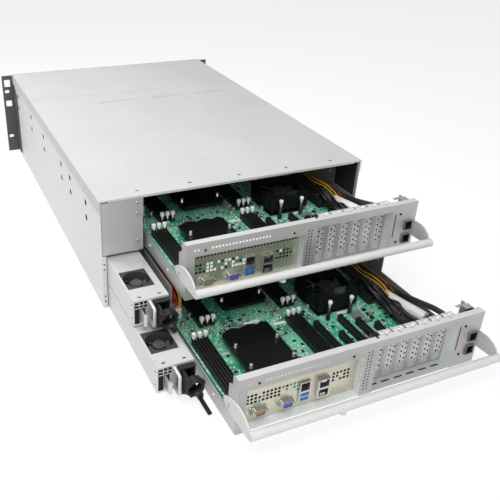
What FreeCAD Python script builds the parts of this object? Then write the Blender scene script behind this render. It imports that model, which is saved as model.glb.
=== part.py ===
import FreeCAD, Part
import math
import os

# Four-unit rack storage server with two computing sleds and two power supplies drawn out of its rear.
# Millimetres. +Z is up, the rear faces -Y and +X is to the right as seen from the rear.
# The origin is the centre of the underside of the chassis.

# Chassis
SHEET = 1.2
COVER_W = 438.0
WALL_X = 217.6
CHASSIS_H = 177.0
CHASSIS_D = 660.0
REAR_Y = -CHASSIS_D / 2
FRONT_Y = CHASSIS_D / 2
WALL_TOP = CHASSIS_H - SHEET
COVER_SEAM_Y = REAR_Y + 465.0
COVER_FLANGE_Z = 157.0
RAIL_HOLE_STATIONS = [77.0, 171.0, 230.0, 365.0, 477.0, 613.0]
RAIL_SCREW_STATIONS = [77.0, 477.0]
RAIL_HOLE_HEIGHTS = [115.0, 140.0]
RAIL_HOLE_R = 5.0
DIVIDER_X = -157.8
SHELF_Z = 89.0
BAY_DEPTH = 372.0

# Rack ears, to the 19 inch rack standard
EAR_SPAN = 482.6
EAR_HOLE_SPAN = 465.1
EAR_HOLE_RISE = 101.6
EAR_SLOT_LENGTH = 10.3
EAR_SLOT_R = 3.4
EAR_THICK = 2.0

# Sleds, in their own frame: y from the outer face of the panel, z from the underside of the tray
SLED_X0 = -150.0
SLED_X1 = 213.0
SLED_H = 82.0
SLED_L = 372.0
LOW_WALL_H = 23.5
TALL_WALL_H = 80.0
TALL_WALL_Y = 203.0
UPPER_SLED_Y = REAR_Y - 146.0
LOWER_SLED_Y = REAR_Y - 302.0
UPPER_SLED_Z = 90.6
LOWER_SLED_Z = 1.6
IO_X = (-137.5, 25.0)
IO_TOP = 63.4
IO_DEPTH = 12.0
IO_SHEET = 0.8
WELL_X = (44.4, 172.0)
WELL_TOP = 71.5
WELL_DEPTH = 17.5
SLOT_PITCH = 20.32
SLOT_X0 = 62.0
SLOT_COUNT = 6
SLOT_OPENING = 14.4
SLOT_Z = (4.0, 68.0)
COVER_TAB_Z = 79.8
COVER_SHEET = 0.8
COVER_HALF = 9.2
JACK_X = (193.0, 206.5)
JACK_Z = [(17.6, 32.1), (39.2, 53.7)]
BOARD_X = (-139.0, 166.0)
BOARD_Y = (14.0, 350.0)
BOARD_Z = (7.7, 9.3)
BOARD_STEP = (40.0, 20.5)
CARD_X0 = 46.0
CARD_Y0 = 46.0
CARD_LENGTHS = [89.0, 56.0, 89.0, 73.0, 56.0]
MEMORY_PITCH = 8.7
MEMORY_BANKS = [(-133.0, (23.0, 162.0)), (-107.6, (190.0, 329.0)), (14.8, (23.0, 162.0)),
                (23.6, (190.0, 329.0))]
PORT_BACK = 21.5
STANDOFF_X = [-130.0, 10.0, 158.0]
STANDOFF_Y = [27.0, 172.0, 340.0]
PIVOT = (15.0, 34.0)
PIVOT_R = 2.5
PIVOT_CLEARANCE = 0.05
ARM_THICK = 2.0
ARM_GAP = 0.2
BAR_R = 5.75
BAR_AT = (-36.5, 33.0)

# Power supplies, in their own frame: y from the outer face, z from the underside
PSU_X = (-210.0, -160.0)
PSU_H = 40.0
PSU_L = 300.0
UPPER_PSU_Y = REAR_Y - 116.0
LOWER_PSU_Y = REAR_Y - 204.0
UPPER_PSU_Z = 44.6
LOWER_PSU_Z = 2.8
PSU_WINDOW_X = (-207.0, -169.0)
PSU_WINDOW_Y = (28.0, 73.0)
INLET_X = (-182.0, -162.0)
INLET_Z = (7.0, 34.0)
LATCH_X = -199.0
LATCH_PIVOT_Y = 18.0

# Disk bays
BAY_COLUMNS = 4
BAY_ROWS = 4
COLUMN_PITCH = 106.0
ROW_PITCH = 30.0
BAY_Z0 = 3.0
CAGE_WALL = 1.0
CAGE_Y0 = 154.0
BACKPLANE_Y = 150.0
CARRIER_GAP = 0.5

# Fans
CHASSIS_FAN_PITCH = 126.0
CHASSIS_FAN_Z = 88.5
CHASSIS_FAN_SIZE = 120.0
CHASSIS_FAN_BORE_R = 56.5
CHASSIS_FAN_Y = (62.0, 100.0)
COOLER_AT = (93.0, 184.0)
COOLER_SIZE = 72.0
COOLER_BORE_R = 32.5
COOLER_Z = (20.0, 42.0)
PSU_FAN_R = 18.0


def polygon(centre, axis, span, radius, sides):
    # Prism with a regular outline, one corner of which lies along the first direction of its plane.
    outline = []
    for step in range(sides):
        angle = 2 * math.pi * step / sides
        outline.append((centre[0] + radius * math.cos(angle), centre[1] + radius * math.sin(angle)))
    return prism(outline, axis, span)


def softened(u, v, radius):
    # Rectangle with three points round each corner.
    outline = []
    corners = [(u[1], v[1], 0), (u[0], v[1], 90), (u[0], v[0], 180), (u[1], v[0], 270)]
    for corner_u, corner_v, start in corners:
        centre_u = corner_u - math.copysign(radius, corner_u - (u[0] + u[1]) / 2)
        centre_v = corner_v - math.copysign(radius, corner_v - (v[0] + v[1]) / 2)
        for turn in (0, 45, 90):
            angle = math.radians(start + turn)
            outline.append((centre_u + radius * math.cos(angle), centre_v + radius * math.sin(angle)))
    return outline


def box(x, y, z):
    low = FreeCAD.Vector(x[0], y[0], z[0])
    return Part.makeBox(x[1] - x[0], y[1] - y[0], z[1] - z[0], low)


def in_plane(point, axis, level):
    # Puts a flat point into space: (y, z) for axis x, (x, z) for axis y, (x, y) for axis z.
    u, v = point
    if axis == "x":
        return FreeCAD.Vector(level, u, v)
    if axis == "y":
        return FreeCAD.Vector(u, level, v)
    return FreeCAD.Vector(u, v, level)


def axis_vector(axis, length):
    return in_plane((0.0, 0.0), axis, length)


def prism(outline, axis, span):
    points = [in_plane(p, axis, span[0]) for p in outline]
    wire = Part.makePolygon(points + points[:1])
    return Part.Face(wire).extrude(axis_vector(axis, span[1] - span[0]))


def rod(centre, axis, span, radius):
    base = in_plane(centre, axis, span[0])
    return Part.makeCylinder(radius, span[1] - span[0], base, axis_vector(axis, 1.0))


def slot(centre, length, radius, axis, span):
    # A hole with round ends, long along the first direction of its plane.
    half = length / 2 - radius
    ends = []
    for side in (-1, 1):
        ends.append(rod((centre[0] + side * half, centre[1]), axis, span, radius))
    u, v = centre
    corners = [(-half, -radius), (half, -radius), (half, radius), (-half, radius)]
    middle = prism([(u + du, v + dv) for du, dv in corners], axis, span)
    return ends[0].fuse([ends[1], middle]).removeSplitter()


def folded(path, thickness):
    # Bent sheet as an outline for each flat leg, mitred at the bends. The sheet lies to the left of the path.
    count = len(path)
    normals = []
    for i in range(count - 1):
        du = path[i + 1][0] - path[i][0]
        dv = path[i + 1][1] - path[i][1]
        length = math.hypot(du, dv)
        normals.append((-dv / length, du / length))
    inner = []
    for i, (u, v) in enumerate(path):
        first = normals[max(i - 1, 0)]
        second = normals[min(i, count - 2)]
        scale = thickness / (1.0 + first[0] * second[0] + first[1] * second[1])
        inner.append((u + (first[0] + second[0]) * scale, v + (first[1] + second[1]) * scale))
    return [[path[i], path[i + 1], inner[i + 1], inner[i]] for i in range(count - 1)]


def sheet(path, thickness, axis, span):
    return [prism(leg, axis, span) for leg in folded(path, thickness)]


def spider(centre, axis, span, hub_r, sides, reach, width):
    # Motor mount in a fan's bore: a flat-sided hub with a strut from every other flat to the bore's wall.
    hub = polygon(centre, axis, span, hub_r, sides)
    flat = hub_r * math.cos(math.pi / sides)
    u, v = centre
    struts = []
    for step in range(0, sides, 2):
        strut = prism([(u + flat, v - width / 2), (u + reach, v - width / 2), (u + reach, v + width / 2),
                       (u + flat, v + width / 2)], axis, span)
        turn = math.degrees(2 * math.pi * (step + 0.5) / sides)
        if axis == "y":
            turn = -turn
        strut.rotate(in_plane(centre, axis, 0.0), axis_vector(axis, 1.0), turn)
        struts.append(strut)
    return [hub] + struts


def series(start, pitch, count):
    return [start + pitch * i for i in range(count)]


def moved(shape, x=0.0, y=0.0, z=0.0):
    copy = shape.copy()
    copy.translate(FreeCAD.Vector(x, y, z))
    return copy


def rotor(hub_r, tip_r, height, blades, chord):
    # Fan rotor about Z, standing on z = 0: a flat-sided hub with a pitched blade on every other flat.
    sides = 2 * blades
    hub = polygon((0.0, 0.0), "z", (0.0, height), hub_r, sides)
    pitch = 36.0
    root_r = hub_r * math.cos(math.pi / sides) - 0.6
    root_chord = 1.7 * hub_r * math.sin(math.pi / sides) / math.cos(math.radians(pitch))
    end_r = math.sqrt(tip_r ** 2 - (chord / 2) ** 2)
    outline = [(root_r, -root_chord / 2), (end_r, -chord / 2), (end_r, chord / 2), (root_r, root_chord / 2)]
    wheel = []
    for step in range(blades):
        blade = prism(outline, "z", (-0.7, 0.7))
        blade.rotate(FreeCAD.Vector(0, 0, 0), FreeCAD.Vector(1, 0, 0), pitch)
        blade.translate(FreeCAD.Vector(0, 0, height * 0.48))
        blade.rotate(FreeCAD.Vector(0, 0, 0), FreeCAD.Vector(0, 0, 1), 360.0 * (step + 0.25) / blades)
        wheel.append(blade)
    return hub.fuse(wheel)


def tube(path, radius):
    # Cable of six-sided section with mitred bends.
    points = [FreeCAD.Vector(*p) for p in path]
    section = []
    for step in range(7):
        angle = math.radians(60 * step)
        section.append(points[0] + FreeCAD.Vector(radius * math.cos(angle), 0.0, radius * math.sin(angle)))
    return Part.makePolygon(points).makePipeShell([Part.makePolygon(section)], True, False, 1)


def rail_holes(side):
    # The outer pairs are round and take the rail's screws; the spare pairs between them are eight-sided.
    through = sorted((side * (WALL_X - 3.0), side * (WALL_X + 1.0)))
    holes = []
    for station in RAIL_HOLE_STATIONS:
        for height in RAIL_HOLE_HEIGHTS:
            centre = (REAR_Y + station, height)
            if station in RAIL_SCREW_STATIONS:
                holes.append(rod(centre, "x", through, RAIL_HOLE_R))
            else:
                holes.append(polygon(centre, "x", through, RAIL_HOLE_R, 8))
    return holes


def chassis_base():
    path = [(-207.6, WALL_TOP), (-WALL_X, WALL_TOP), (-WALL_X, 0.0), (WALL_X, 0.0), (WALL_X, WALL_TOP),
            (207.6, WALL_TOP)]
    left_flange, left_wall, floor, right_wall, right_flange = sheet(path, SHEET, "y", (REAR_Y, FRONT_Y))
    lip = box((-WALL_X + SHEET, -210.8), (REAR_Y, REAR_Y + SHEET), (SHEET, 88.0))
    walls = [left_wall.cut(rail_holes(-1)), right_wall.cut(rail_holes(1))]
    return Part.makeCompound(walls + [left_flange, right_flange, floor, lip])


def top_cover(y, dip_x):
    half = COVER_W / 2
    path = [(half, COVER_FLANGE_Z), (half, CHASSIS_H), (-half, CHASSIS_H), (-half, COVER_FLANGE_Z)]
    right, top, left = sheet(path, SHEET, "y", y)
    pads = []
    dips = []
    for x in dip_x:
        dip_y = (y[0] + 66.0, y[0] + 414.0)
        dips.append(prism(softened((x, x + 76.0), dip_y, 14.0), "z", (CHASSIS_H - 0.8, CHASSIS_H + 1)))
        pads.append(prism(softened((x + 0.6, x + 75.4), (dip_y[0] + 0.6, dip_y[1] - 0.6), 13.4), "z",
                          (WALL_TOP - 0.8, WALL_TOP)))
    if pads:
        top = top.fuse(pads).cut(dips)
    return [top, left, right]


def rear_top_cover():
    cover = top_cover((REAR_Y, COVER_SEAM_Y), [-97.0, 8.0, 100.0])
    hem = box((-206.0, 206.0), (REAR_Y, REAR_Y + SHEET), (WALL_TOP - 2.4, WALL_TOP))
    return Part.makeCompound(cover + [hem])


def front_top_cover():
    return Part.makeCompound(top_cover((COVER_SEAM_Y + 0.6, FRONT_Y - EAR_THICK - 0.2), []))


def bay_divider():
    # Wall between the supplies and the sleds, with the shelves of the supplies welded to it.
    path = [(DIVIDER_X - 10.0, SHEET), (DIVIDER_X + SHEET, SHEET), (DIVIDER_X + SHEET, WALL_TOP),
            (DIVIDER_X - 10.0, WALL_TOP)]
    wall = sheet(path, SHEET, "y", (REAR_Y + 1.6, REAR_Y + BAY_DEPTH))
    shelf_x = (-WALL_X + SHEET, DIVIDER_X)
    shelf_y = (REAR_Y + 4.0, REAR_Y + 320.0)
    shelves = [box(shelf_x, shelf_y, (43.5, 44.3)), box(shelf_x, shelf_y, (86.2, 87.2))]
    return Part.makeCompound(wall + shelves)


def sled_shelf():
    left = DIVIDER_X + SHEET + 0.2
    right = WALL_X - SHEET - 0.1
    low = SHELF_Z - 10.0
    high = SHELF_Z + SHEET
    path = [(right, low), (right, high), (left, high), (left, low)]
    return Part.makeCompound(sheet(path, SHEET, "y", (REAR_Y + 4.0, REAR_Y + BAY_DEPTH)))


def psu_blank_panel():
    z = (89.4, 173.0)
    path = [(-215.8, REAR_Y + 3.5), (-215.8, REAR_Y), (-154.6, REAR_Y), (-154.6, REAR_Y + 3.5)]
    pan = sheet(path, SHEET, "z", z)
    step = box((-168.0, -160.0), (REAR_Y - 0.8, REAR_Y), z)
    return Part.makeCompound(pan + [step])


def drive_cage():
    width = COLUMN_PITCH * BAY_COLUMNS
    top = BAY_Z0 + ROW_PITCH * BAY_ROWS
    y = (CAGE_Y0, FRONT_Y - 1.0)
    plate_x = (-width / 2 - 1.0, width / 2 + 1.0)
    pieces = [box(plate_x, y, (BAY_Z0 - 1.4, BAY_Z0 - 0.4)), box(plate_x, y, (top + 0.4, top + 1.4))]
    for x in series(-width / 2, COLUMN_PITCH, BAY_COLUMNS + 1):
        wall_x = (x - CAGE_WALL / 2, x + CAGE_WALL / 2)
        pieces.append(box(wall_x, y, (BAY_Z0 - 0.4, top + 0.4)))
        for z in series(BAY_Z0 + ROW_PITCH, ROW_PITCH, BAY_ROWS - 1):
            rail = ((y[0], y[1] - 14.0), (z - 0.5, z + 0.5))
            if x > -width / 2:
                pieces.append(box((wall_x[0] - 4.5, wall_x[0]), *rail))
            if x < width / 2:
                pieces.append(box((wall_x[1], wall_x[1] + 4.5), *rail))
    header_top = WALL_TOP - SHEET - 0.3
    header_path = [(FRONT_Y - 14.0, top + 1.4), (FRONT_Y - 1.0, top + 1.4), (FRONT_Y - 1.0, header_top),
                   (FRONT_Y - 14.0, header_top)]
    low_lip, face, high_lip = sheet(header_path, SHEET, "x", (-width / 2, width / 2))
    vents = []
    for x in series(-width / 2 + 10.0, 51.0, 8):
        for z in series(top + 8.0, 19.0, 2):
            vents.append(box((x, x + 45.0), (FRONT_Y - 4.0, FRONT_Y + 1.0), (z, z + 14.0)))
    return Part.makeCompound(pieces + [low_lip, face.cut(vents), high_lip])


def bay_corner(row, column):
    x = -COLUMN_PITCH * BAY_COLUMNS / 2 + COLUMN_PITCH * column
    z = BAY_Z0 + ROW_PITCH * row
    return x, z


def drive_backplane():
    width = COLUMN_PITCH * BAY_COLUMNS
    board_y = (BACKPLANE_Y, BACKPLANE_Y + 2.0)
    board = box((-width / 2, width / 2), board_y, (BAY_Z0, BAY_Z0 + ROW_PITCH * BAY_ROWS))
    windows = []
    sockets = []
    for column in range(BAY_COLUMNS):
        x, low = bay_corner(0, column)
        high = low + ROW_PITCH * BAY_ROWS
        windows.append(box((x + 62.0, x + 98.0), (board_y[0] - 1, board_y[1] + 1), (low + 7.0, high - 7.0)))
        for row in range(BAY_ROWS):
            z = bay_corner(row, column)[1]
            sockets.append(box((x + 14.0, x + 56.0), (board_y[1], board_y[1] + 14.4), (z + 5.0, z + 11.0)))
    return Part.makeCompound([board.cut(windows)] + sockets)


def drive_carrier(row, column):
    # A folded tray with its disk, its front block and its release lever, each a solid of its own.
    x, z = bay_corner(row, column)
    left = x + CAGE_WALL / 2 + CARRIER_GAP
    right = x + COLUMN_PITCH - CAGE_WALL / 2 - CARRIER_GAP
    low = z + 0.5 + CARRIER_GAP
    high = z + ROW_PITCH - 0.5 - CARRIER_GAP
    front = FRONT_Y - 1.0
    path = [(left, front - 174.0), (left, front - 9.0), (right, front - 9.0), (right, front - 174.0)]
    tray = sheet(path[::-1], 1.0, "z", (low, high - 2.0))
    disk = box((left + 1.2, right - 1.2), (front - 162.0, front - 15.0), (low + 1.0, low + 25.0))
    block = box((left, left + 33.0), (front - 9.0, front), (low, high))
    grip = [(left + 34.0, front - 8.8), (right - 1.0, front - 8.8), (right - 1.0, front - 1.2),
            (right - 14.0, front + 2.2), (left + 34.0, front - 0.6)]
    lever = prism(grip, "z", (low + 1.5, high - 1.5))
    return Part.makeCompound(tray + [disk, block, lever])


def fan_centres():
    return series(-CHASSIS_FAN_PITCH, CHASSIS_FAN_PITCH, 3)


def fan_wall():
    # Uprights and rails of sheet round three square fan frames, each with a bored ring and a motor mount.
    y0, y1 = CHASSIS_FAN_Y
    half = CHASSIS_FAN_SIZE / 2
    low = CHASSIS_FAN_Z - half
    high = CHASSIS_FAN_Z + half
    wall_x = (-WALL_X + SHEET + 0.4, WALL_X - SHEET - 0.4)
    sheet_y = (y1 - SHEET, y1)
    pieces = [box(wall_x, sheet_y, (SHEET + 0.2, low)), box(wall_x, sheet_y, (high, WALL_TOP - SHEET - 0.4))]
    edges = [wall_x[0]]
    for x in fan_centres():
        edges += [x - half, x + half]
    edges.append(wall_x[1])
    for start, end in zip(edges[::2], edges[1::2]):
        pieces.append(box((start, end), sheet_y, (low, high)))
    for x in fan_centres():
        centre = (x, CHASSIS_FAN_Z)
        frame = box((x - half, x + half), (y0, y1), (low, high))
        pieces.append(frame.cut(polygon(centre, "y", (y0 - 1, y1 + 1), CHASSIS_FAN_BORE_R, 24)))
        reach = CHASSIS_FAN_BORE_R * math.cos(math.pi / 24) - 0.02
        pieces += spider(centre, "y", (y1 - 3.0, y1), 22.0, 8, reach, 4.0)
    return Part.makeCompound(pieces)


def chassis_fan(x):
    wheel = rotor(22.0, 55.5, 28.0, 7, 36.0)
    wheel.rotate(FreeCAD.Vector(0, 0, 0), FreeCAD.Vector(1, 0, 0), -90)
    return moved(wheel, x, CHASSIS_FAN_Y[0] + 4.0, CHASSIS_FAN_Z)


def rack_ear(side):
    front_y = (FRONT_Y - EAR_THICK, FRONT_Y)
    x = sorted((side * WALL_X, side * EAR_SPAN / 2))
    plate = box(x, front_y, (3.0, 174.0))
    flange_x = sorted((side * WALL_X, side * (WALL_X + EAR_THICK)))
    flange = prism([(FRONT_Y - 36.0, 8.0), (FRONT_Y, 8.0), (FRONT_Y, 153.0), (FRONT_Y - 14.0, 153.0),
                    (FRONT_Y - 36.0, 138.0)], "x", flange_x)
    hole_x = side * EAR_HOLE_SPAN / 2
    middle = CHASSIS_H / 2
    through = (front_y[0] - 1, front_y[1] + 1)
    cuts = []
    for z in (middle - EAR_HOLE_RISE / 2, middle + EAR_HOLE_RISE / 2):
        cuts.append(slot((hole_x, z), EAR_SLOT_LENGTH, EAR_SLOT_R, "y", through))
    opening_x = sorted((side * 224.5, side * 237.0))
    for z in ((106.0, 119.0), (149.5, 165.0)):
        cuts.append(box(opening_x, through, z))
    return plate.fuse(flange).cut(cuts).removeSplitter()


def sled_tray():
    path = [(SLED_X0, LOW_WALL_H), (SLED_X0, 0.0), (SLED_X1, 0.0), (SLED_X1, LOW_WALL_H)]
    pieces = sheet(path, SHEET, "y", (1.4, SLED_L))
    for x in ((SLED_X0, SLED_X0 + SHEET), (SLED_X1 - SHEET, SLED_X1)):
        pieces.append(box(x, (TALL_WALL_Y, SLED_L), (LOW_WALL_H, TALL_WALL_H)))
    pieces.append(box((SLED_X0 + SHEET, SLED_X1 - SHEET), (SLED_L - SHEET, SLED_L), (SHEET, 45.0)))
    for x in STANDOFF_X:
        for y in STANDOFF_Y:
            pieces.append(polygon((x, y), "z", (SHEET, BOARD_Z[0]), 3.4, 6))
    return Part.makeCompound(pieces)


def slot_centres():
    return series(SLOT_X0, SLOT_PITCH, SLOT_COUNT)


def slot_well():
    # Bulkhead with the card slots, set back from the panel's face, and the walls that join it to the face.
    x = (WELL_X[0] - SHEET, WELL_X[1] + SHEET)
    depth = (SHEET, WELL_DEPTH)
    bulkhead = box(x, (WELL_DEPTH, WELL_DEPTH + SHEET), (SHEET, COVER_TAB_Z))
    slots = []
    for centre in slot_centres():
        slot_x = (centre - SLOT_OPENING / 2, centre + SLOT_OPENING / 2)
        slots.append(box(slot_x, (WELL_DEPTH - 1.0, WELL_DEPTH + SHEET + 1.0), SLOT_Z))
    roof = box(x, depth, (WELL_TOP, WELL_TOP + SHEET))
    left = box((x[0], WELL_X[0]), depth, (SHEET, WELL_TOP))
    right = box((WELL_X[1], x[1]), depth, (SHEET, WELL_TOP))
    return [bulkhead.cut(slots), roof, left, right]


def sled_panel():
    # Face and flange of one bent sheet, open to the tray's floor at the sockets and at the well of the
    # card slots, with side cheeks and the studs on which the handle turns.
    path = [(10.0, SLED_H), (0.0, SLED_H), (0.0, 0.0)]
    flange, face = sheet(path, SHEET, "x", (SLED_X0, SLED_X1))
    low = LOW_WALL_H + 0.5
    high = SLED_H - SHEET
    left_cheek = [(SHEET, low), (22.0, low), (22.0, 62.0), (13.0, 68.0), (13.0, high), (SHEET, high)]
    right_cheek = [(SHEET, low), (30.0, low), (30.0, 76.0), (13.0, 76.0), (13.0, high), (SHEET, high)]
    cheeks = [prism(left_cheek, "x", (SLED_X0, SLED_X0 + SHEET)),
              prism(right_cheek, "x", (SLED_X1 - SHEET, SLED_X1))]
    tab = box((SLED_X1 - 12.0, SLED_X1 - SHEET), (20.0, 30.0), (76.0 - SHEET, 76.0))
    studs = []
    for x in ((SLED_X0 - 2.6, SLED_X0), (SLED_X1, SLED_X1 + 2.6)):
        studs.append(rod(PIVOT, "x", x, PIVOT_R))
    through = (-1.0, SHEET + 1.0)
    cuts = [box(IO_X, through, (-1.0, IO_TOP)), box(WELL_X, through, (-1.0, WELL_TOP))]
    for z in JACK_Z:
        cuts.append(box(JACK_X, through, z))
    return Part.makeCompound([face.cut(cuts), flange, tab] + cheeks + studs + slot_well())


def port_fronts():
    # Front faces of the sockets that look out through the recessed plate, as (x, z) spans.
    return {
        "serial": ((-125.0, -103.0), (11.4, 23.4)),
        "video": ((-86.0, -66.0), (11.4, 22.4)),
        "stack": ((-59.0, -43.5), (11.4, 41.0)),
        "network": ((-34.0, -16.5), (11.4, 39.0)),
    }


def io_plate():
    # Recessed plate with a hole for each socket, and the roof and ends that join it to the panel's face.
    high = IO_TOP + IO_SHEET
    back = IO_DEPTH + IO_SHEET
    path = [(back, SHEET), (back, high), (SHEET, high)]
    face, roof = sheet(path, IO_SHEET, "x", (IO_X[0] - IO_SHEET, IO_X[1] + IO_SHEET))
    through = (IO_DEPTH - 1.0, IO_DEPTH + 2.0)
    holes = []
    for x, z in port_fronts().values():
        holes.append(box((x[0] - 0.3, x[1] + 0.3), through, (z[0] - 0.3, z[1] + 0.3)))
    ends = []
    for x in ((IO_X[0] - IO_SHEET, IO_X[0]), (IO_X[1], IO_X[1] + IO_SHEET)):
        ends.append(box(x, (SHEET, IO_DEPTH), (SHEET, IO_TOP)))
    return Part.makeCompound([face.cut(holes), roof] + ends)


def slot_covers():
    # Plates behind the card slots, each with a tab bent forward under the panel's flange.
    back = WELL_DEPTH + SHEET
    covers = []
    for x in slot_centres():
        path = [(SHEET, COVER_TAB_Z), (back, COVER_TAB_Z), (back, 2.0)]
        covers += sheet(path, COVER_SHEET, "x", (x - COVER_HALF, x + COVER_HALF))
    return Part.makeCompound(covers)


def motherboard():
    # The rear edge steps back where the board meets the well of the card slots.
    step_x, step_y = BOARD_STEP
    outline = [(BOARD_X[0], BOARD_Y[0]), (step_x, BOARD_Y[0]), (step_x, step_y), (BOARD_X[1], step_y),
               (BOARD_X[1], BOARD_Y[1]), (BOARD_X[0], BOARD_Y[1])]
    return prism(outline, "z", BOARD_Z)


def memory_socket(x, y):
    # Grooved socket with a raised latch that leans outwards at each end.
    base = BOARD_Z[1]
    shoulder = base + 8.5
    top = base + 19.0
    y0, y1 = y
    outline = [(y0, base), (y1, base), (y1 + 1.5, top), (y1 - 3.5, top), (y1 - 7.0, shoulder),
               (y0 + 7.0, shoulder), (y0 + 3.5, top), (y0 - 1.5, top)]
    body = prism(outline, "x", (x - 3.2, x + 3.2))
    groove = box((x - 0.9, x + 0.9), (y0 + 5.0, y1 - 5.0), (base + 3.5, top + 1.0))
    return body.cut(groove)


def expansion_socket(x, length):
    base = BOARD_Z[1]
    body = box((x - 3.8, x + 3.8), (CARD_Y0, CARD_Y0 + length), (base, base + 11.2))
    groove = box((x - 0.9, x + 0.9), (CARD_Y0 + 3.0, CARD_Y0 + length - 3.0), (base + 3.0, base + 12.0))
    return body.cut(groove)


def panel_port(name, front_y, mouths):
    # A socket that stands on the board and looks out through the recessed plate.
    x, z = port_fronts()[name]
    seat = IO_DEPTH + IO_SHEET + 0.3
    body = box(x, (seat, PORT_BACK), (BOARD_Z[1], z[1]))
    nose = box(x, (front_y, seat), z)
    holes = []
    for mouth_x, mouth_z in mouths:
        holes.append(box(mouth_x, (front_y - 1.0, front_y + 9.0), mouth_z))
    return body.fuse(nose).cut(holes).removeSplitter()


def jack_cage(z):
    cage = box(JACK_X, (-8.0, 26.0), z)
    mouth = box((JACK_X[0] + 1.0, JACK_X[1] - 1.0), (-9.0, 12.0), (z[0] + 1.0, z[1] - 1.0))
    return cage.cut(mouth)


def board_connectors():
    solids = []
    for start, y in MEMORY_BANKS:
        for x in series(start, MEMORY_PITCH, 3):
            solids.append(memory_socket(x, y))
    for x, length in zip(series(CARD_X0, SLOT_PITCH, len(CARD_LENGTHS)), CARD_LENGTHS):
        solids.append(expansion_socket(x, length))
    solids.append(panel_port("serial", 5.0, []))
    solids.append(panel_port("video", 5.0, []))
    solids.append(panel_port("stack", 4.0, [((-57.4, -45.1), (27.6, 39.6))]))
    network_x = (-32.0, -18.5)
    solids.append(panel_port("network", 4.0, [(network_x, (13.0, 23.5)), (network_x, (27.0, 37.5))]))
    for z in JACK_Z:
        solids.append(jack_cage(z))
    base = BOARD_Z[1]
    solids.append(box((150.0, 161.0), (150.0, 202.0), (base, base + 14.0)))
    solids.append(box((-134.0, -125.0), (222.0, 240.0), (base, base + 18.0)))
    return Part.makeCompound(solids)


def processor_cover(x, y):
    # Socket frame under a flat cover plate with a waved far edge.
    base = BOARD_Z[1]
    frame = box((x + 9.0, x + 63.0), (y + 16.0, y + 88.0), (base, base + 10.0))
    outline = [(x + 4.0, y), (x + 68.0, y), (x + 73.0, y + 6.0), (x + 73.0, y + 96.0), (x + 66.0, y + 103.0),
               (x + 56.0, y + 99.0), (x + 44.0, y + 104.0), (x + 30.0, y + 99.0), (x + 18.0, y + 104.0),
               (x + 8.0, y + 100.0), (x, y + 94.0), (x, y + 5.0)]
    plate = prism(outline, "z", (base + 10.0, base + 15.0))
    return [frame, plate]


def heat_sink(x, y):
    # Comb of fins on a base.
    base = BOARD_Z[1]
    root = base + 3.0
    tip = COOLER_Z[0]
    outline = [(x - 30.0, base), (x + 30.0, base)]
    for fin_x in series(x + 28.4, -9.13, 7):
        outline += [(fin_x + 1.6, root), (fin_x + 1.6, tip), (fin_x, tip), (fin_x, root)]
    return prism(outline, "y", (y - 30.0, y + 30.0))


def coolers():
    x, y = COOLER_AT
    half = COOLER_SIZE / 2
    shroud = prism(softened((x - half, x + half), (y - half, y + half), 8.0), "z", COOLER_Z)
    shroud = shroud.cut(polygon((x, y), "z", (COOLER_Z[0] - 1, COOLER_Z[1] + 1), COOLER_BORE_R, 24))
    reach = COOLER_BORE_R * math.cos(math.pi / 24) - 0.02
    mount = spider((x, y), "z", (COOLER_Z[0], COOLER_Z[0] + 2.0), 13.0, 6, reach, 3.0)
    covers = processor_cover(-97.0, 54.0) + processor_cover(-68.0, 202.0)
    return Part.makeCompound(covers + [shroud, heat_sink(x, y)] + mount)


def cooler_fan():
    wheel = rotor(13.0, 31.0, 16.0, 7, 20.0)
    return moved(wheel, COOLER_AT[0], COOLER_AT[1], COOLER_Z[0] + 3.5)


def cables():
    # Three sleeved leads along the right of the tray: two end at the jacks and one lies beside the board.
    z = 12.0
    jack_x = sum(JACK_X) / 2
    low_z = sum(JACK_Z[0]) / 2
    high_z = sum(JACK_Z[1]) / 2
    wall_lead = tube([(196.0, 368.0, z), (196.0, 250.0, z), (202.0, 120.0, 24.0), (jack_x, 62.0, high_z),
                      (jack_x, 26.0, high_z)], 4.6)
    floor_lead = tube([(183.0, 368.0, z), (183.0, 150.0, z), (jack_x, 58.0, low_z),
                       (jack_x, 26.0, low_z)], 4.2)
    board_lead = tube([(172.5, 368.0, z), (172.5, 120.0, z), (168.0, 60.0, z + 2.0)], 4.2)
    return Part.makeCompound([wall_lead, floor_lead, board_lead])


def arm_outline():
    # Side view of a handle arm: a rounded tip at the pivot, an arched upper edge and a straight lower edge.
    bar_y, bar_z = BAR_AT
    outline = [(26.0, 29.0), (29.2, 31.6), (30.0, 34.5), (29.2, 37.4), (26.0, 40.0), (13.0, 46.6),
               (-1.0, 50.0), (-14.0, 50.0), (-24.0, 47.0), (-31.0, 41.8)]
    for turn in range(45, 271, 45):
        angle = math.radians(turn)
        outline.append((bar_y + BAR_R * math.cos(angle), bar_z + BAR_R * math.sin(angle)))
    outline.append((8.0, 25.0))
    return outline


def sled_handle():
    span = (SLED_X0 - ARM_GAP - ARM_THICK, SLED_X1 + ARM_GAP + ARM_THICK)
    left = prism(arm_outline(), "x", (span[0], span[0] + ARM_THICK))
    right = prism(arm_outline(), "x", (span[1] - ARM_THICK, span[1]))
    bar = rod(BAR_AT, "x", (span[0] + 0.4, span[1] - 0.4), BAR_R)
    knob = polygon((-28.0, BAR_AT[0]), "z", (BAR_AT[1] - BAR_R - 3.0, BAR_AT[1]), 4.6, 12)
    eyes = rod(PIVOT, "x", (span[0] - 1, span[1] + 1), PIVOT_R + PIVOT_CLEARANCE)
    return bar.fuse([left, right, knob]).cut(eyes)


def psu_fan_centre():
    return sum(PSU_WINDOW_X) / 2, sum(PSU_WINDOW_Y) / 2


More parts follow.
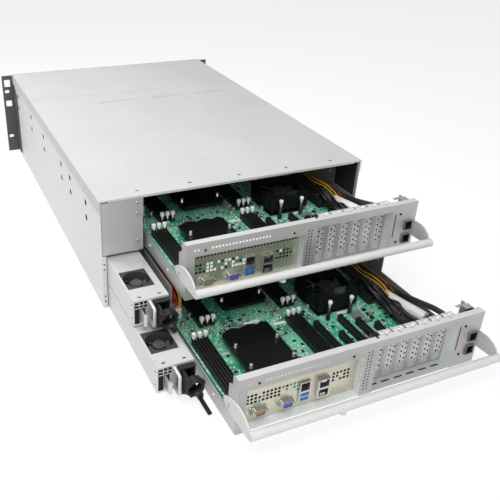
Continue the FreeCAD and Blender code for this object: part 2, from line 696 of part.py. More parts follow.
def psu_case():
    # Folded pan, a lid with a window over the fan, end plates and the fan's shroud.
    wall = 1.0
    inside_x = (PSU_X[0] + wall, PSU_X[1] - wall)
    pan_path = [(PSU_X[0], PSU_H - wall), (PSU_X[0], 0.0), (PSU_X[1], 0.0), (PSU_X[1], PSU_H - wall)]
    pan = sheet(pan_path, wall, "y", (0.0, PSU_L))
    lid = box(PSU_X, (0.0, PSU_L), (PSU_H - wall, PSU_H))
    lid = lid.cut(box(PSU_WINDOW_X, PSU_WINDOW_Y, (PSU_H - 3.0, PSU_H + 1.0)))
    front = box(inside_x, (0.0, wall), (wall, PSU_H - wall))
    front_cuts = [box(INLET_X, (-1.0, 3.0), INLET_Z),
                  box((LATCH_X - 2.0, LATCH_X + 6.0), (-1.0, 3.0), (5.0, 27.0))]
    for z in series(6.0, 9.0, 3):
        front_cuts.append(box((-208.0, -203.0), (-1.0, 3.0), (z, z + 5.0)))
    rear = box(inside_x, (PSU_L - wall, PSU_L), (wall, PSU_H - wall))
    rear_cuts = []
    for x in series(-204.0, 13.0, 3):
        rear_cuts.append(box((x, x + 10.0), (PSU_L - 3.0, PSU_L + 1.0), (24.0, 36.0)))
    rib = box((-202.0, -169.0), (86.0, 90.0), (PSU_H, PSU_H + 0.4))
    tongue = box((-204.0, -166.0), (PSU_L, PSU_L + 8.0), (17.0, 19.0))
    x, y = psu_fan_centre()
    shroud = box((x - 20.0, x + 20.0), (y - 20.0, y + 20.0), (20.0, PSU_H - wall))
    shroud = shroud.cut(polygon((x, y), "z", (19.0, PSU_H + 1.0), PSU_FAN_R + 1.0, 24))
    reach = (PSU_FAN_R + 1.0) * math.cos(math.pi / 24) - 0.02
    mount = spider((x, y), "z", (20.0, 21.4), 8.0, 8, reach, 3.0)
    ends = [front.cut(front_cuts), rear.cut(rear_cuts)]
    return Part.makeCompound(pan + ends + [lid, rib, tongue, shroud] + mount)


def psu_inlet():
    # Mains socket with a flange and an open mouth.
    flange = box((INLET_X[0] - 1.0, INLET_X[1] + 1.0), (-1.6, 0.0), (INLET_Z[0] - 2.0, INLET_Z[1] + 2.0))
    barrel = box(INLET_X, (0.0, 19.0), INLET_Z)
    mouth = box((INLET_X[0] + 2.0, INLET_X[1] - 2.0), (-2.0, 15.0), (INLET_Z[0] + 2.0, INLET_Z[1] - 2.0))
    return flange.fuse(barrel).cut(mouth)


def cord_retainer(reach):
    # Ladder strap with an open clamp.
    strap = box((-166.6, -161.6), (-reach, 0.0), (2.0, 3.6))
    teeth = []
    for y in series(-reach + 4.0, 5.0, int((reach - 30.0) // 5)):
        teeth.append(box((-165.6, -162.6), (y, y + 2.4), (1.0, 5.0)))
    clamp = (-171.0, 20.5)
    bore = polygon(clamp, "y", (-31.0, -19.0), 10.6, 16)
    ring = polygon(clamp, "y", (-30.0, -20.0), 12.5, 16)
    mouth = box((clamp[0], clamp[0] + 20.0), (-31.0, -19.0), (clamp[1] + 4.0, clamp[1] + 20.0))
    post = box((-166.6, -161.6), (-30.0, -20.0), (2.0, 13.0))
    return strap.cut(teeth).fuse(ring.fuse(post).cut([bore, mouth])).removeSplitter()


def psu_handle():
    # Flat strap bent into a loop.
    path = [(0.0, 38.0), (-18.0, 38.0), (-22.0, 34.0), (-22.0, 8.0), (-18.0, 4.0), (0.0, 4.0)]
    return Part.makeCompound(sheet(path, 2.0, "x", (-190.0, -184.6)))


def psu_fan():
    wheel = rotor(8.5, PSU_FAN_R, 12.0, 7, 11.0)
    x, y = psu_fan_centre()
    return moved(wheel, x, y, 22.0)


def psu_latch():
    # Sprung tab with a hooked thumb rest.
    back = LATCH_X - 0.8
    front = LATCH_X + 0.8
    hook = LATCH_X + 3.4
    lever = [(back, LATCH_PIVOT_Y), (back, -13.0), (LATCH_X + 2.0, -16.0), (hook, -16.0), (hook, -14.4),
             (front, -12.0), (front, LATCH_PIVOT_Y)]
    return prism(lever, "z", (7.0, 25.0))


def export(name, shape):
    shape.exportStep("parts/" + name + ".step")


def export_chassis():
    export("chassis_base", chassis_base())
    export("rear_top_cover", rear_top_cover())
    export("front_top_cover", front_top_cover())
    export("bay_divider", bay_divider())
    export("sled_shelf", sled_shelf())
    export("psu_blank_panel", psu_blank_panel())
    export("drive_cage", drive_cage())
    export("drive_backplane", drive_backplane())
    export("fan_wall", fan_wall())
    export("rack_ear_left", rack_ear(-1))
    export("rack_ear_right", rack_ear(1))
    for name, x in zip(("left", "middle", "right"), fan_centres()):
        export("chassis_fan_" + name, chassis_fan(x))
    for row in range(BAY_ROWS):
        for column in range(BAY_COLUMNS):
            export("drive_carrier_r%d_c%d" % (row + 1, column + 1), drive_carrier(row, column))


def export_sleds():
    pieces = {
        "sled_tray": sled_tray(),
        "sled_panel": sled_panel(),
        "io_plate": io_plate(),
        "slot_covers": slot_covers(),
        "motherboard": motherboard(),
        "board_connectors": board_connectors(),
        "coolers": coolers(),
        "cooler_fan": cooler_fan(),
        "cables": cables(),
        "sled_handle": sled_handle(),
    }
    for prefix, y, z in (("upper_", UPPER_SLED_Y, UPPER_SLED_Z), ("lower_", LOWER_SLED_Y, LOWER_SLED_Z)):
        for name, shape in pieces.items():
            export(prefix + name, moved(shape, 0.0, y, z))


def export_power_supplies():
    places = [("upper_", UPPER_PSU_Y, UPPER_PSU_Z, 34.0), ("lower_", LOWER_PSU_Y, LOWER_PSU_Z, 60.0)]
    for prefix, y, z, reach in places:
        pieces = {
            "psu_case": psu_case(),
            "psu_inlet": Part.makeCompound([psu_inlet(), cord_retainer(reach)]),
            "psu_handle": psu_handle(),
            "psu_fan": psu_fan(),
            "psu_latch": psu_latch(),
        }
        for name, shape in pieces.items():
            export(prefix + name, moved(shape, 0.0, y, z))


os.makedirs("parts", exist_ok=True)
export_chassis()
export_sleds()
export_power_supplies()
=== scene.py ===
import itertools
import math

import bpy
import numpy as np
from mathutils import Matrix, Vector


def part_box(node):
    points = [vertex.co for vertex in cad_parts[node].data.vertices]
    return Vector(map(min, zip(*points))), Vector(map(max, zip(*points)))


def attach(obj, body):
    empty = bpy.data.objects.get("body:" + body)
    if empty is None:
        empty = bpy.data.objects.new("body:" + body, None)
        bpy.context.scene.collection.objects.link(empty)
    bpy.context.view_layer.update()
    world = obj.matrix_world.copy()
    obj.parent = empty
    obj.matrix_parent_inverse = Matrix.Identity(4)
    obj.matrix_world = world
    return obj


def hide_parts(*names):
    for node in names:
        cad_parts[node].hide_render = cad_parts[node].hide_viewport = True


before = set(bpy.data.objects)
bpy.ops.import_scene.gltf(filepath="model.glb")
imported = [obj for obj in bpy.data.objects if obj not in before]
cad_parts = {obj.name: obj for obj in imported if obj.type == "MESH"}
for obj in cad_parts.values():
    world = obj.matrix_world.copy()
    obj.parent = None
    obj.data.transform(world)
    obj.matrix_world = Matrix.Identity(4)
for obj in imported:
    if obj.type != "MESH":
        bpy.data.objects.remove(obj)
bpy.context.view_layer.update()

bl_info = {
    "name": "Storage server",
    "version": (1, 0, 0),
    "blender": (4, 5, 0),
    "location": "View3D > Sidebar > Server",
    "description": "Finishes, small parts and a studio for a rack storage server with drawn-out sleds",
    "category": "Object",
}

# Millimetres are used for all shapes and turned into metres when a mesh is made.
MM = 0.001
SLEDS = ("upper", "lower")
SUPPLIES = ("upper", "lower")
CARRIERS = ["drive_carrier_r%d_c%d" % place for place in itertools.product(range(1, 5), range(1, 5))]
CHASSIS_FANS = ["chassis_fan_" + side for side in ("left", "middle", "right")]

# Directions (first, second, outward) for shapes that stand on a face
BASIS = {
    "+x": ((0, 1, 0), (0, 0, 1), (1, 0, 0)),
    "-x": ((0, 0, 1), (0, 1, 0), (-1, 0, 0)),
    "+y": ((0, 0, 1), (1, 0, 0), (0, 1, 0)),
    "-y": ((1, 0, 0), (0, 0, 1), (0, -1, 0)),
    "+z": ((1, 0, 0), (0, 1, 0), (0, 0, 1)),
}

# Chassis: places along it are distances ahead of the lid's rear edge
RAIL_HOLES = ((77.0, 4.97), (171.0, 4.6), (230.0, 4.6), (365.0, 4.6), (477.0, 4.97), (613.0, 4.6))
RAIL_HOLE_HEIGHTS = (115.0, 140.0)
HOOK_STATIONS = (92.0, 262.0, 427.0, 560.0)
BAY_DEPTH = 372.0
# Thickness of the dark skins of painted shade inside the walls
SKIN = 0.27

# Supplies, in their own frame: x, distance ahead of the outer face, height over the underside
SUPPLY_LEFT = -210.0
SUPPLY_H = 40.0
WINDOW_CENTRE = (-188.0, 50.5)
WINDOW_SIZE = (37.4, 44.4)
GRIP_X = -187.3
GRIP_R = 2.5
INLET_X = -171.0
INLET_H = 20.5

# Sleds, in their own frame: x, distance ahead of the panel's outer face, height over the tray's underside
SLED_LEFT = -150.0
SLED_RIGHT = 213.0
SLED_H = 82.0
TRAY_FLOOR = 1.38
BOARD_TOP = 9.3
BOARD_X = (-136.0, 163.0)
BOARD_Y = (24.0, 347.0)
MEMORY_BANKS = ((-133.0, 23.0, 162.0), (-107.6, 190.0, 329.0), (14.8, 23.0, 162.0), (23.6, 190.0, 329.0))
MEMORY_PITCH = 8.7
SLOT_PITCH = 20.32
SLOT_CENTRES = [62.0 + SLOT_PITCH * i for i in range(6)]
CARD_X = 46.0
CARD_Y = 46.0
CARD_LENGTHS = (89.0, 56.0, 89.0, 73.0, 56.0)
CARD_SOCKETS = [(CARD_X + SLOT_PITCH * i, length) for i, length in enumerate(CARD_LENGTHS)]
WELL_X = (44.4, 172.0)
WELL_DEPTH = 17.5
WELL_TOP = 71.4
TAB_TOP = 79.9
COVER_FACE = 18.7
PLATE_FACE = 12.0
BAY_X = (-137.5, 25.0)
BAY_TOP = 63.4
DOT_PITCH = 4.87
JACK_X = (193.0, 206.5)
JACK_Z = ((17.6, 32.1), (39.2, 53.7))


def corner(node):
    """Lowest and highest corner of a node's box, in millimetres."""
    low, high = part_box(node)
    return np.array(low) / MM, np.array(high) / MM


def rear_origin(node):
    """Middle of the frame in x, and the rear and the underside of a node."""
    low = corner(node)[0]
    return np.array([0.0, low[1], low[2]])


def sled_origin(name):
    """Origin of a sled's own frame."""
    return rear_origin(name + "_sled_panel")


def supply_origin(name):
    """Origin of a supply's own frame."""
    return rear_origin(name + "_psu_case")


def place_piece(obj, body):
    """Puts a new piece into the scene, on its body."""
    bpy.context.collection.objects.link(obj)
    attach(obj, body)
    return obj


class Surface:
    """Collects shells of points and faces in millimetres and makes one piece of them."""

    def __init__(self, shift=(0.0, 0.0, 0.0)):
        self.shift = np.array(shift, float)
        self.points = []
        self.faces = []
        self.slots = []
        self.smooth = []
        self.total = 0

    def add(self, shell, slot=0, smooth=False):
        points, face_groups = shell
        points = np.asarray(points, float).reshape(-1, 3)
        for group in face_groups:
            rows = (np.asarray(group) + self.total).tolist()
            self.faces.extend(rows)
            self.slots.extend([slot] * len(rows))
            self.smooth.extend([smooth] * len(rows))
        self.points.append(points + self.shift)
        self.total += len(points)

    def piece(self, name, body, finishes):
        mesh = bpy.data.meshes.new(name)
        mesh.from_pydata((np.concatenate(self.points) * MM).tolist(), [], self.faces)
        for finish in finishes:
            mesh.materials.append(finish)
        mesh.polygons.foreach_set("material_index", self.slots)
        mesh.polygons.foreach_set("use_smooth", self.smooth)
        mesh.update()
        return place_piece(bpy.data.objects.new(name, mesh), body)


def box_template():
    """Corners and faces of a box with bevelled edges: three points at each corner, one on each face there.

    A face, an edge or a corner is named by the way it looks, with -1, 0 or 1 along each axis. Its points
    are sorted by their angle round that way."""
    corners = np.array(list(itertools.product((0, 1), repeat=3)))
    sides = 2 * corners - 1
    shares = np.where(np.eye(3), 1.0, 0.8)
    bevelled = (sides[:, None] * shares).reshape(24, 3)
    faces = {3: [], 4: []}
    for way in itertools.product((-1, 0, 1), repeat=3):
        axes = np.flatnonzero(way)
        if len(axes) == 0:
            continue
        near = np.flatnonzero((sides[:, axes] == np.array(way)[axes]).all(1))
        loop = (near[:, None] * 3 + axes).ravel()
        rays = bevelled[loop] - bevelled[loop].mean(0)
        angle = np.arctan2(rays @ np.cross(way, rays[0]), rays @ rays[0])
        faces[len(loop)].append(loop[np.argsort(angle)])
    return corners, np.array(faces[4]), np.array(faces[3])


BOX_CORNERS, BOX_QUADS, BOX_TRIANGLES = box_template()


def blocks(low, high, bevel=0.2, turn=None, lean=0.0):
    """Bevelled boxes: corner points moved in by the bevel on the two axes other than their face's own.

    turn is an angle for each box about its own upright axis, lean moves points along y by their height."""
    low = np.atleast_2d(np.asarray(low, float))
    high = np.atleast_2d(np.asarray(high, float))
    count = max(len(low), len(high))
    low = np.broadcast_to(low, (count, 3))
    high = np.broadcast_to(high, (count, 3))
    size = high - low
    edge = np.minimum(bevel, size.min(1) * 0.45)
    points = low[:, None] + BOX_CORNERS[None] * size[:, None]
    sign = np.where(BOX_CORNERS > 0, -1.0, 1.0)[None]
    stack = []
    for axis in range(3):
        moved = points + sign * edge[:, None, None]
        moved[:, :, axis] = points[:, :, axis]
        stack.append(moved)
    points = np.stack(stack, 2).reshape(count, 24, 3)
    if turn is not None:
        middle = (low + high)[:, None] / 2
        c = np.cos(turn)[:, None]
        s = np.sin(turn)[:, None]
        x, y, z = np.moveaxis(points - middle, -1, 0)
        points = middle + np.stack([x * c - y * s, x * s + y * c, z], -1)
    if lean:
        points[..., 1] += lean * (points[..., 2] - low[:, None, 2])
    start = np.arange(count)[:, None, None] * 24
    faces = [(BOX_QUADS[None] + start).reshape(-1, 4), (BOX_TRIANGLES[None] + start).reshape(-1, 3)]
    return points.reshape(-1, 3), faces


def wall_faces(rows, sides, closed=False):
    """Faces between loops of points, row by row.

    A closed shape goes on from the last loop to the first. Any other has a flat end on its first and last."""
    row, i = np.meshgrid(np.arange(rows if closed else rows - 1), np.arange(sides), indexing="ij")
    following = (i + 1) % sides
    here = row * sides
    above = (row + 1) % rows * sides
    quads = np.stack([here + i, here + following, above + following, above + i], -1).reshape(-1, 4)
    if closed:
        return [quads]
    ends = np.stack([np.arange(sides)[::-1], (rows - 1) * sides + np.arange(sides)])
    return [quads, ends]


def round_loop(radius, sides):
    """Circle about the origin: radius times cosine and sine of an angle that goes once round."""
    angle = np.linspace(0.0, 2 * np.pi, sides, endpoint=False)
    return radius * np.stack([np.cos(angle), np.sin(angle)], 1)


def square_loop(width, height, sides):
    """Rectangle with as many points as a circle, each where the circle's ray meets the edge."""
    ray = round_loop(1.0, sides)
    reach = np.array((width, height)) / 2 / np.maximum(np.abs(ray), 1e-6)
    return ray * reach.min(1)[:, None]


def rounded_loop(width, height, radius, steps=4, taper=0.0):
    """Rounded rectangle about the origin. A taper narrows it downwards, as on a D-shaped socket."""
    angle = np.linspace(0.0, np.pi / 2, steps + 1)
    loop = []
    for quarter, (sx, sy) in enumerate(((1, 1), (-1, 1), (-1, -1), (1, -1))):
        a = angle + quarter * np.pi / 2
        centre = np.array([sx * (width / 2 - radius), sy * (height / 2 - radius)])
        loop.append(centre + radius * np.stack([np.cos(a), np.sin(a)], 1))
    loop = np.concatenate(loop)
    loop[:, 0] *= 1.0 - taper * (0.5 - loop[:, 1] / height)
    return loop


def directions(axis):
    """Two directions across an axis and the one along it."""
    return tuple(np.array(way, float) for way in BASIS[axis])


def turned(centres, profile, axis="+z", sides=16):
    """Turned shapes: each point of the profile (radius, height) goes round the axis, closed by flat ends."""
    centres = np.atleast_2d(np.asarray(centres, float))
    profile = np.asarray(profile, float)
    u, v, n = directions(axis)
    circle = round_loop(1.0, sides)
    ring = circle[:, :1] * u + circle[:, 1:] * v
    shape = profile[:, None, :1] * ring[None] + profile[:, None, 1:] * n
    points = (centres[:, None, None] + shape[None]).reshape(-1, 3)
    start = np.arange(len(centres))[:, None, None] * len(profile) * sides
    faces = wall_faces(len(profile), sides)
    return points, [(group[None] + start).reshape(-1, group.shape[1]) for group in faces]


def lofted(loops, levels, centre, axis, closed=False):
    """Walls through like loops, each at its level along the axis, with flat ends or closed to a ring."""
    u, v, n = directions(axis)
    loops = np.asarray(loops, float)
    rows, sides = loops.shape[:2]
    points = np.asarray(centre, float) + loops[..., :1] * u + loops[..., 1:] * v
    points = points + np.asarray(levels, float)[:, None, None] * n
    return points.reshape(-1, 3), wall_faces(rows, sides, closed)


def lead(name, body, routes, radius, finish):
    """Leads as one curve piece: a smooth curve led by each route's points, with a round section."""
    curve = bpy.data.curves.new(name, "CURVE")
    curve.dimensions = "3D"
    curve.bevel_depth = radius * MM
    curve.bevel_resolution = 3
    curve.use_fill_caps = True
    curve.resolution_u = 10
    for route in routes:
        spline = curve.splines.new("NURBS")
        spline.points.add(len(route) - 1)
        for point, place in zip(spline.points, np.asarray(route, float) * MM):
            point.co = (*place, 1.0)
        spline.order_u = 3
        spline.use_endpoint_u = True
    curve.materials.append(finish)
    return place_piece(bpy.data.objects.new(name, curve), body)


# Screw and rivet heads for an M3 thread, as profiles of radius and height
PAN_HEAD = ((3.0, 0.0), (3.0, 0.7), (2.6, 1.4), (1.9, 1.8), (1.1, 1.9), (0.9, 1.2))
FLUSH_HEAD = ((3.1, -0.6), (3.1, 0.12), (2.8, 0.2), (1.3, 0.2), (1.0, -0.4))
RIVET_HEAD = ((2.2, -0.3), (2.2, 0.2), (1.8, 0.6), (1.1, 0.85), (0.4, 0.9))


def scaled(profile, size):
    """Profile with its radii and heights times a size."""
    return [(r * size, h * size) for r, h in profile]


def screws(surface, centres, axis, size=1.0, head=PAN_HEAD, slot=0, recess_slot=1):
    """Screw heads with a cross-shaped recess of two bars sunk in the middle, dark where their finish is the
    black of painted shade.
    """
    surface.add(turned(centres, scaled(head, size), axis, 14), slot, True)
    u, v, n = directions(axis)
    middle = np.atleast_2d(np.asarray(centres, float)) + n * (head[-2][1] + 0.02) * size
    for a, b in ((u, v), (v, u)):
        half = (np.abs(a) * 1.25 + np.abs(b) * 0.28 + np.abs(n) * 0.04) * size
        surface.add(blocks(middle - half, middle + half, 0.02), recess_slot)


def patches(surface, centres, size, level, slot):
    """Thin plates let into a face that looks along -y, at (x, height) places: dark ones as painted shade in
    openings, pale ones as painted light seen through them.
    """
    centres = np.atleast_2d(np.asarray(centres, float))
    half = np.asarray(size, float) / 2
    low = np.insert(centres - half, 1, level - 0.05, 1)
    high = np.insert(centres + half, 1, level + 0.3, 1)
    surface.add(blocks(low, high, 0.05), slot)


def grid(x0, z0, pitch, columns, rows):
    """Places at one pitch in columns and rows from a first place, column by column."""
    x, z = np.meshgrid(x0 + pitch * np.arange(columns), z0 + pitch * np.arange(rows), indexing="ij")
    return np.stack([x.ravel(), z.ravel()], 1)


def standing(places, height=BOARD_TOP):
    """Places in the plane of the board as points at a height."""
    return np.insert(np.asarray(places, float), 2, height, 1)


# Node groups

def add_node(tree, kind, links=None, **settings):
    """Node with its settings, and its inputs linked to sockets or set to values."""
    node = tree.nodes.new(kind)
    for key, value in settings.items():
        setattr(node, key, value)
    for key, value in (links or {}).items():
        if isinstance(value, bpy.types.NodeSocket):
            tree.links.new(value, node.inputs[key])
        else:
            node.inputs[key].default_value = value
    return node


def new_group(name, inputs, outputs):
    """New group with its inputs, and the object's own coordinates."""
    tree = bpy.data.node_groups.new(name, "ShaderNodeTree")
    for label, default in inputs.items():
        socket = tree.interface.new_socket(label, in_out="INPUT", socket_type="NodeSocketFloat")
        socket.default_value = default
    for label in outputs:
        tree.interface.new_socket(label, in_out="OUTPUT", socket_type="NodeSocketFloat")
    given = tree.nodes.new("NodeGroupInput").outputs
    return tree, given, add_node(tree, "ShaderNodeTexCoord").outputs["Object"]


def put_out(tree, values):
    end = tree.nodes.new("NodeGroupOutput")
    for label, value in values.items():
        tree.links.new(value, end.inputs[label])
    return tree


def math_node(tree, operation, a, b=0.0):
    return add_node(tree, "ShaderNodeMath", {0: a, 1: b}, operation=operation).outputs[0]


def spread(tree, value, low, high, to_low, to_high):
    node = add_node(tree, "ShaderNodeMapRange", {0: value, 1: low, 2: high, 3: to_low, 4: to_high})
    return node.outputs[0]


def blend(tree, a, b, share):
    """Sum of two values, the first with its share and the second with the rest."""
    rest = math_node(tree, "MULTIPLY", b, 1.0 - share)
    return math_node(tree, "ADD", math_node(tree, "MULTIPLY", a, share), rest)


def noise(tree, place, scale, detail):
    inputs = {"Vector": place, "Scale": scale, "Detail": detail}
    return add_node(tree, "ShaderNodeTexNoise", inputs).outputs[0]


def cells(tree, place, scale, **settings):
    return add_node(tree, "ShaderNodeTexVoronoi", {"Vector": place, "Scale": scale}, **settings).outputs


def split(tree, vector):
    return add_node(tree, "ShaderNodeSeparateXYZ", {0: vector}).outputs


def waves(tree, place, rate):
    return math_node(tree, "SINE", math_node(tree, "MULTIPLY", place, rate))


def turns_per_metre(tree, pitch):
    """Angle that a wave of a pitch in millimetres turns by in a metre."""
    return math_node(tree, "DIVIDE", 6283.0, pitch)


def sheet_grain_group():
    """Rolled sheet: long fine streaks, soft cloudy patches and small scuffs."""
    inputs = {"Scale": 1.0, "Stretch": 12.0}
    tree, given, place = new_group("Sheet grain", inputs, ("Tone", "Rough", "Height"))
    factors = {0: given["Stretch"], 1: 1.0, 2: given["Stretch"]}
    stretch = add_node(tree, "ShaderNodeCombineXYZ", factors).outputs[0]
    stretched = add_node(tree, "ShaderNodeVectorMath", {0: place, 1: stretch}, operation="MULTIPLY")
    streak = noise(tree, stretched.outputs[0], math_node(tree, "MULTIPLY", given["Scale"], 60.0), 3.0)
    cloud = noise(tree, place, 9.0, 4.0)
    speck = noise(tree, place, 900.0, 1.0)
    height = math_node(tree, "ADD", streak, math_node(tree, "MULTIPLY", speck, 0.6))
    return put_out(tree, {"Tone": blend(tree, streak, cloud, 0.5), "Rough": blend(tree, cloud, speck, 0.6),
                          "Height": height})


def moulding_group():
    """Moulded plastic: spark-eroded texture and a faint flow of tone."""
    tree, given, place = new_group("Moulding", {"Scale": 1.0}, ("Tone", "Rough", "Height"))
    pits = cells(tree, place, math_node(tree, "MULTIPLY", given["Scale"], 1400.0))["Distance"]
    flow = noise(tree, place, 45.0, 3.0)
    return put_out(tree, {"Tone": flow, "Rough": blend(tree, flow, pits, 0.5), "Height": pits})


def board_group():
    """Circuit board: bundles of straight tracks, round vias and small pale pads on a solder mask."""
    tree, given, place = new_group("Board tracks", {"Track pitch": 1.6}, ("Track", "Via", "Pad", "Cloud"))
    wander = noise(tree, place, 26.0, 1.0)
    step = math_node(tree, "MULTIPLY", math_node(tree, "SNAP", wander, 0.06), 0.09)
    rate = turns_per_metre(tree, given["Track pitch"])
    axes = split(tree, place)
    across, along = (waves(tree, math_node(tree, "ADD", axes[i], step), rate) for i in (0, 1))
    pick = split(tree, cells(tree, place, 34.0, distance="CHEBYCHEV")["Color"])
    way = math_node(tree, "GREATER_THAN", pick[0], 0.5)
    lines = add_node(tree, "ShaderNodeMix", {0: way, 2: across, 3: along}).outputs[0]
    shown = math_node(tree, "GREATER_THAN", pick[1], 0.32)
    track = math_node(tree, "MULTIPLY", math_node(tree, "GREATER_THAN", lines, 0.25), shown)
    via = math_node(tree, "LESS_THAN", cells(tree, place, 330.0)["Distance"], 0.22)
    grains = cells(tree, place, 240.0, distance="CHEBYCHEV")
    near = math_node(tree, "LESS_THAN", grains["Distance"], 0.26)
    picked = math_node(tree, "GREATER_THAN", split(tree, grains["Color"])[2], 0.62)
    pad = math_node(tree, "MULTIPLY", near, picked)
    return put_out(tree, {"Track": track, "Via": via, "Pad": pad, "Cloud": wander})


def sleeve_group():
    """Woven sleeve: ribs across the run crossed by a fine diagonal weave."""
    tree, given, place = new_group("Sleeve ribs", {"Rib pitch": 2.4}, ("Rib", "Weave"))
    axes = split(tree, place)
    rate = turns_per_metre(tree, given["Rib pitch"])
    rib = waves(tree, axes[1], rate)
    slant = math_node(tree, "ADD", math_node(tree, "ADD", axes[0], axes[1]), axes[2])
    weave = waves(tree, slant, math_node(tree, "MULTIPLY", rate, 2.3))
    return put_out(tree, {"Rib": spread(tree, rib, -1.0, 1.0, 0.0, 1.0),
                          "Weave": spread(tree, weave, -1.0, 1.0, 0.0, 1.0)})


# Finishes

GROUP_MAKERS = {"sheet": sheet_grain_group, "moulding": moulding_group, "board": board_group,
                "sleeve": sleeve_group}
GROUPS = {}
FINISHES = {}


def grain_node(tree, name, inputs):
    """Node for a shared group, which is built the first time it is placed."""
    if name not in GROUPS:
        GROUPS[name] = GROUP_MAKERS[name]()
    return add_node(tree, "ShaderNodeGroup", inputs, node_tree=GROUPS[name])


def once(maker):
    """Makes each finish only once and hands it out again by its name."""
    def fetch(name, *values, **settings):
        if name not in FINISHES:
            FINISHES[name] = maker(name, *values, **settings)
        return FINISHES[name]
    return fetch


def new_material(name, metallic, roughness):
    material = bpy.data.materials.new(name)
    material.use_nodes = True
    tree = material.node_tree
    shader = tree.nodes["Principled BSDF"]
    shader.inputs["Metallic"].default_value = metallic
    shader.inputs["Roughness"].default_value = roughness
    return material, tree, shader


def tint(colour, factor):
    return tuple(min(c * factor, 1.0) for c in colour) + (1.0,)


def mix_colours(tree, mask, first, second):
    return add_node(tree, "ShaderNodeMix", {0: mask, 6: first, 7: second}, data_type="RGBA").outputs[2]


def bump(tree, shader, height, strength, depth):
    node = add_node(tree, "ShaderNodeBump", {"Height": height, "Strength": strength, "Distance": depth * MM})
    tree.links.new(node.outputs[0], shader.inputs["Normal"])


@once
def sheet_metal(name, colour, metallic=0.6, roughness=0.4, contrast=0.06, scale=1.0, stretch=12.0,
                relief=0.05, gloss=0.5):
    """Painted, plated or bare sheet with the rolled grain of its surface."""
    material, tree, shader = new_material(name, metallic, roughness)
    grain = grain_node(tree, "sheet", {"Scale": scale, "Stretch": stretch}).outputs
    tone = spread(tree, grain["Tone"], 0.35, 0.65, 0.0, 1.0)
    shade = mix_colours(tree, tone, tint(colour, 1.0 - contrast), tint(colour, 1.0 + contrast))
    tree.links.new(shade, shader.inputs["Base Color"])
    rough = spread(tree, grain["Rough"], 0.3, 0.7, roughness - 0.06, roughness + 0.06)
    tree.links.new(rough, shader.inputs["Roughness"])
    shader.inputs["Specular IOR Level"].default_value = gloss
    bump(tree, shader, grain["Height"], 0.35, relief)
    return material


@once
def plastic(name, colour, roughness=0.45, contrast=0.12, gloss=0.5):
    """Moulded plastic with a fine eroded surface."""
    material, tree, shader = new_material(name, 0.0, roughness)
    grain = grain_node(tree, "moulding", {"Scale": 1.0}).outputs
    tone = spread(tree, grain["Tone"], 0.3, 0.7, 0.0, 1.0)
    shade = mix_colours(tree, tone, tint(colour, 1.0 - contrast), tint(colour, 1.0 + contrast))
    tree.links.new(shade, shader.inputs["Base Color"])
    rough = spread(tree, grain["Rough"], 0.2, 0.8, roughness - 0.08, roughness + 0.08)
    tree.links.new(rough, shader.inputs["Roughness"])
    shader.inputs["Specular IOR Level"].default_value = gloss
    bump(tree, shader, grain["Height"], 0.25, 0.04)
    return material


@once
def board_finish(name, colour):
    """Solder mask over copper tracks, with tinned pads and vias."""
    material, tree, shader = new_material(name, 0.0, 0.32)
    marks = grain_node(tree, "board", {"Track pitch": 1.5}).outputs
    cloud = spread(tree, marks["Cloud"], 0.35, 0.65, 0.0, 1.0)
    shade = mix_colours(tree, cloud, tint(colour, 0.7), tint(colour, 1.15))
    track = math_node(tree, "MULTIPLY", marks["Track"], 0.75)
    shade = mix_colours(tree, track, shade, (0.36, 0.74, 0.55, 1.0))
    shade = mix_colours(tree, marks["Via"], shade, (0.6, 0.72, 0.62, 1.0))
    shade = mix_colours(tree, marks["Pad"], shade, (0.8, 0.84, 0.8, 1.0))
    tree.links.new(shade, shader.inputs["Base Color"])
    tree.links.new(math_node(tree, "MULTIPLY", marks["Via"], 0.8), shader.inputs["Metallic"])
    bump(tree, shader, math_node(tree, "ADD", marks["Track"], marks["Pad"]), 0.4, 0.05)
    return material


@once
def sleeve_finish(name, colour):
    """Ribbed woven cable sleeve."""
    material, tree, shader = new_material(name, 0.0, 0.55)
    ribs = grain_node(tree, "sleeve", {"Rib pitch": 3.2}).outputs
    weight = blend(tree, ribs["Rib"], ribs["Weave"], 0.6)
    shade = mix_colours(tree, weight, tint(colour, 0.6), tint(colour, 1.7))
    tree.links.new(shade, shader.inputs["Base Color"])
    bump(tree, shader, weight, 0.8, 0.35)
    return material


def lid_silver(look):
    return sheet_metal("Lid silver", look.cover, 0.2, 0.64, 0.035, 0.7, gloss=0.2)


def screw_steel():
    return sheet_metal("Screw steel", (0.55, 0.55, 0.56), 0.9, 0.3, 0.08, 4.0, 1.0)


# Black of painted shade in holes, recesses, pin holes and the backs of mouths
def recess_painted_shade():
    return plastic("Recess dark", (0.012, 0.012, 0.013), 0.8, gloss=0.1)


def socket_black():
    return plastic("Socket black", (0.012, 0.012, 0.013), 0.45, gloss=0.3)


def fan_black():
    return plastic("Fan black", (0.018, 0.018, 0.019), 0.5, gloss=0.3)


def dress(finishes):
    """Gives each CAD node its finish."""
    for node, finish in finishes.items():
        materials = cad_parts[node].data.materials
        materials.clear()
        materials.append(finish)


# Settings

def colour_setting(name, description, default):
    return bpy.props.FloatVectorProperty(name=name, description=description, subtype="COLOR", default=default)


def angle_setting(name, description, degrees):
    angle = math.radians(degrees)
    return bpy.props.FloatProperty(name=name, description=description, subtype="ANGLE", default=angle)


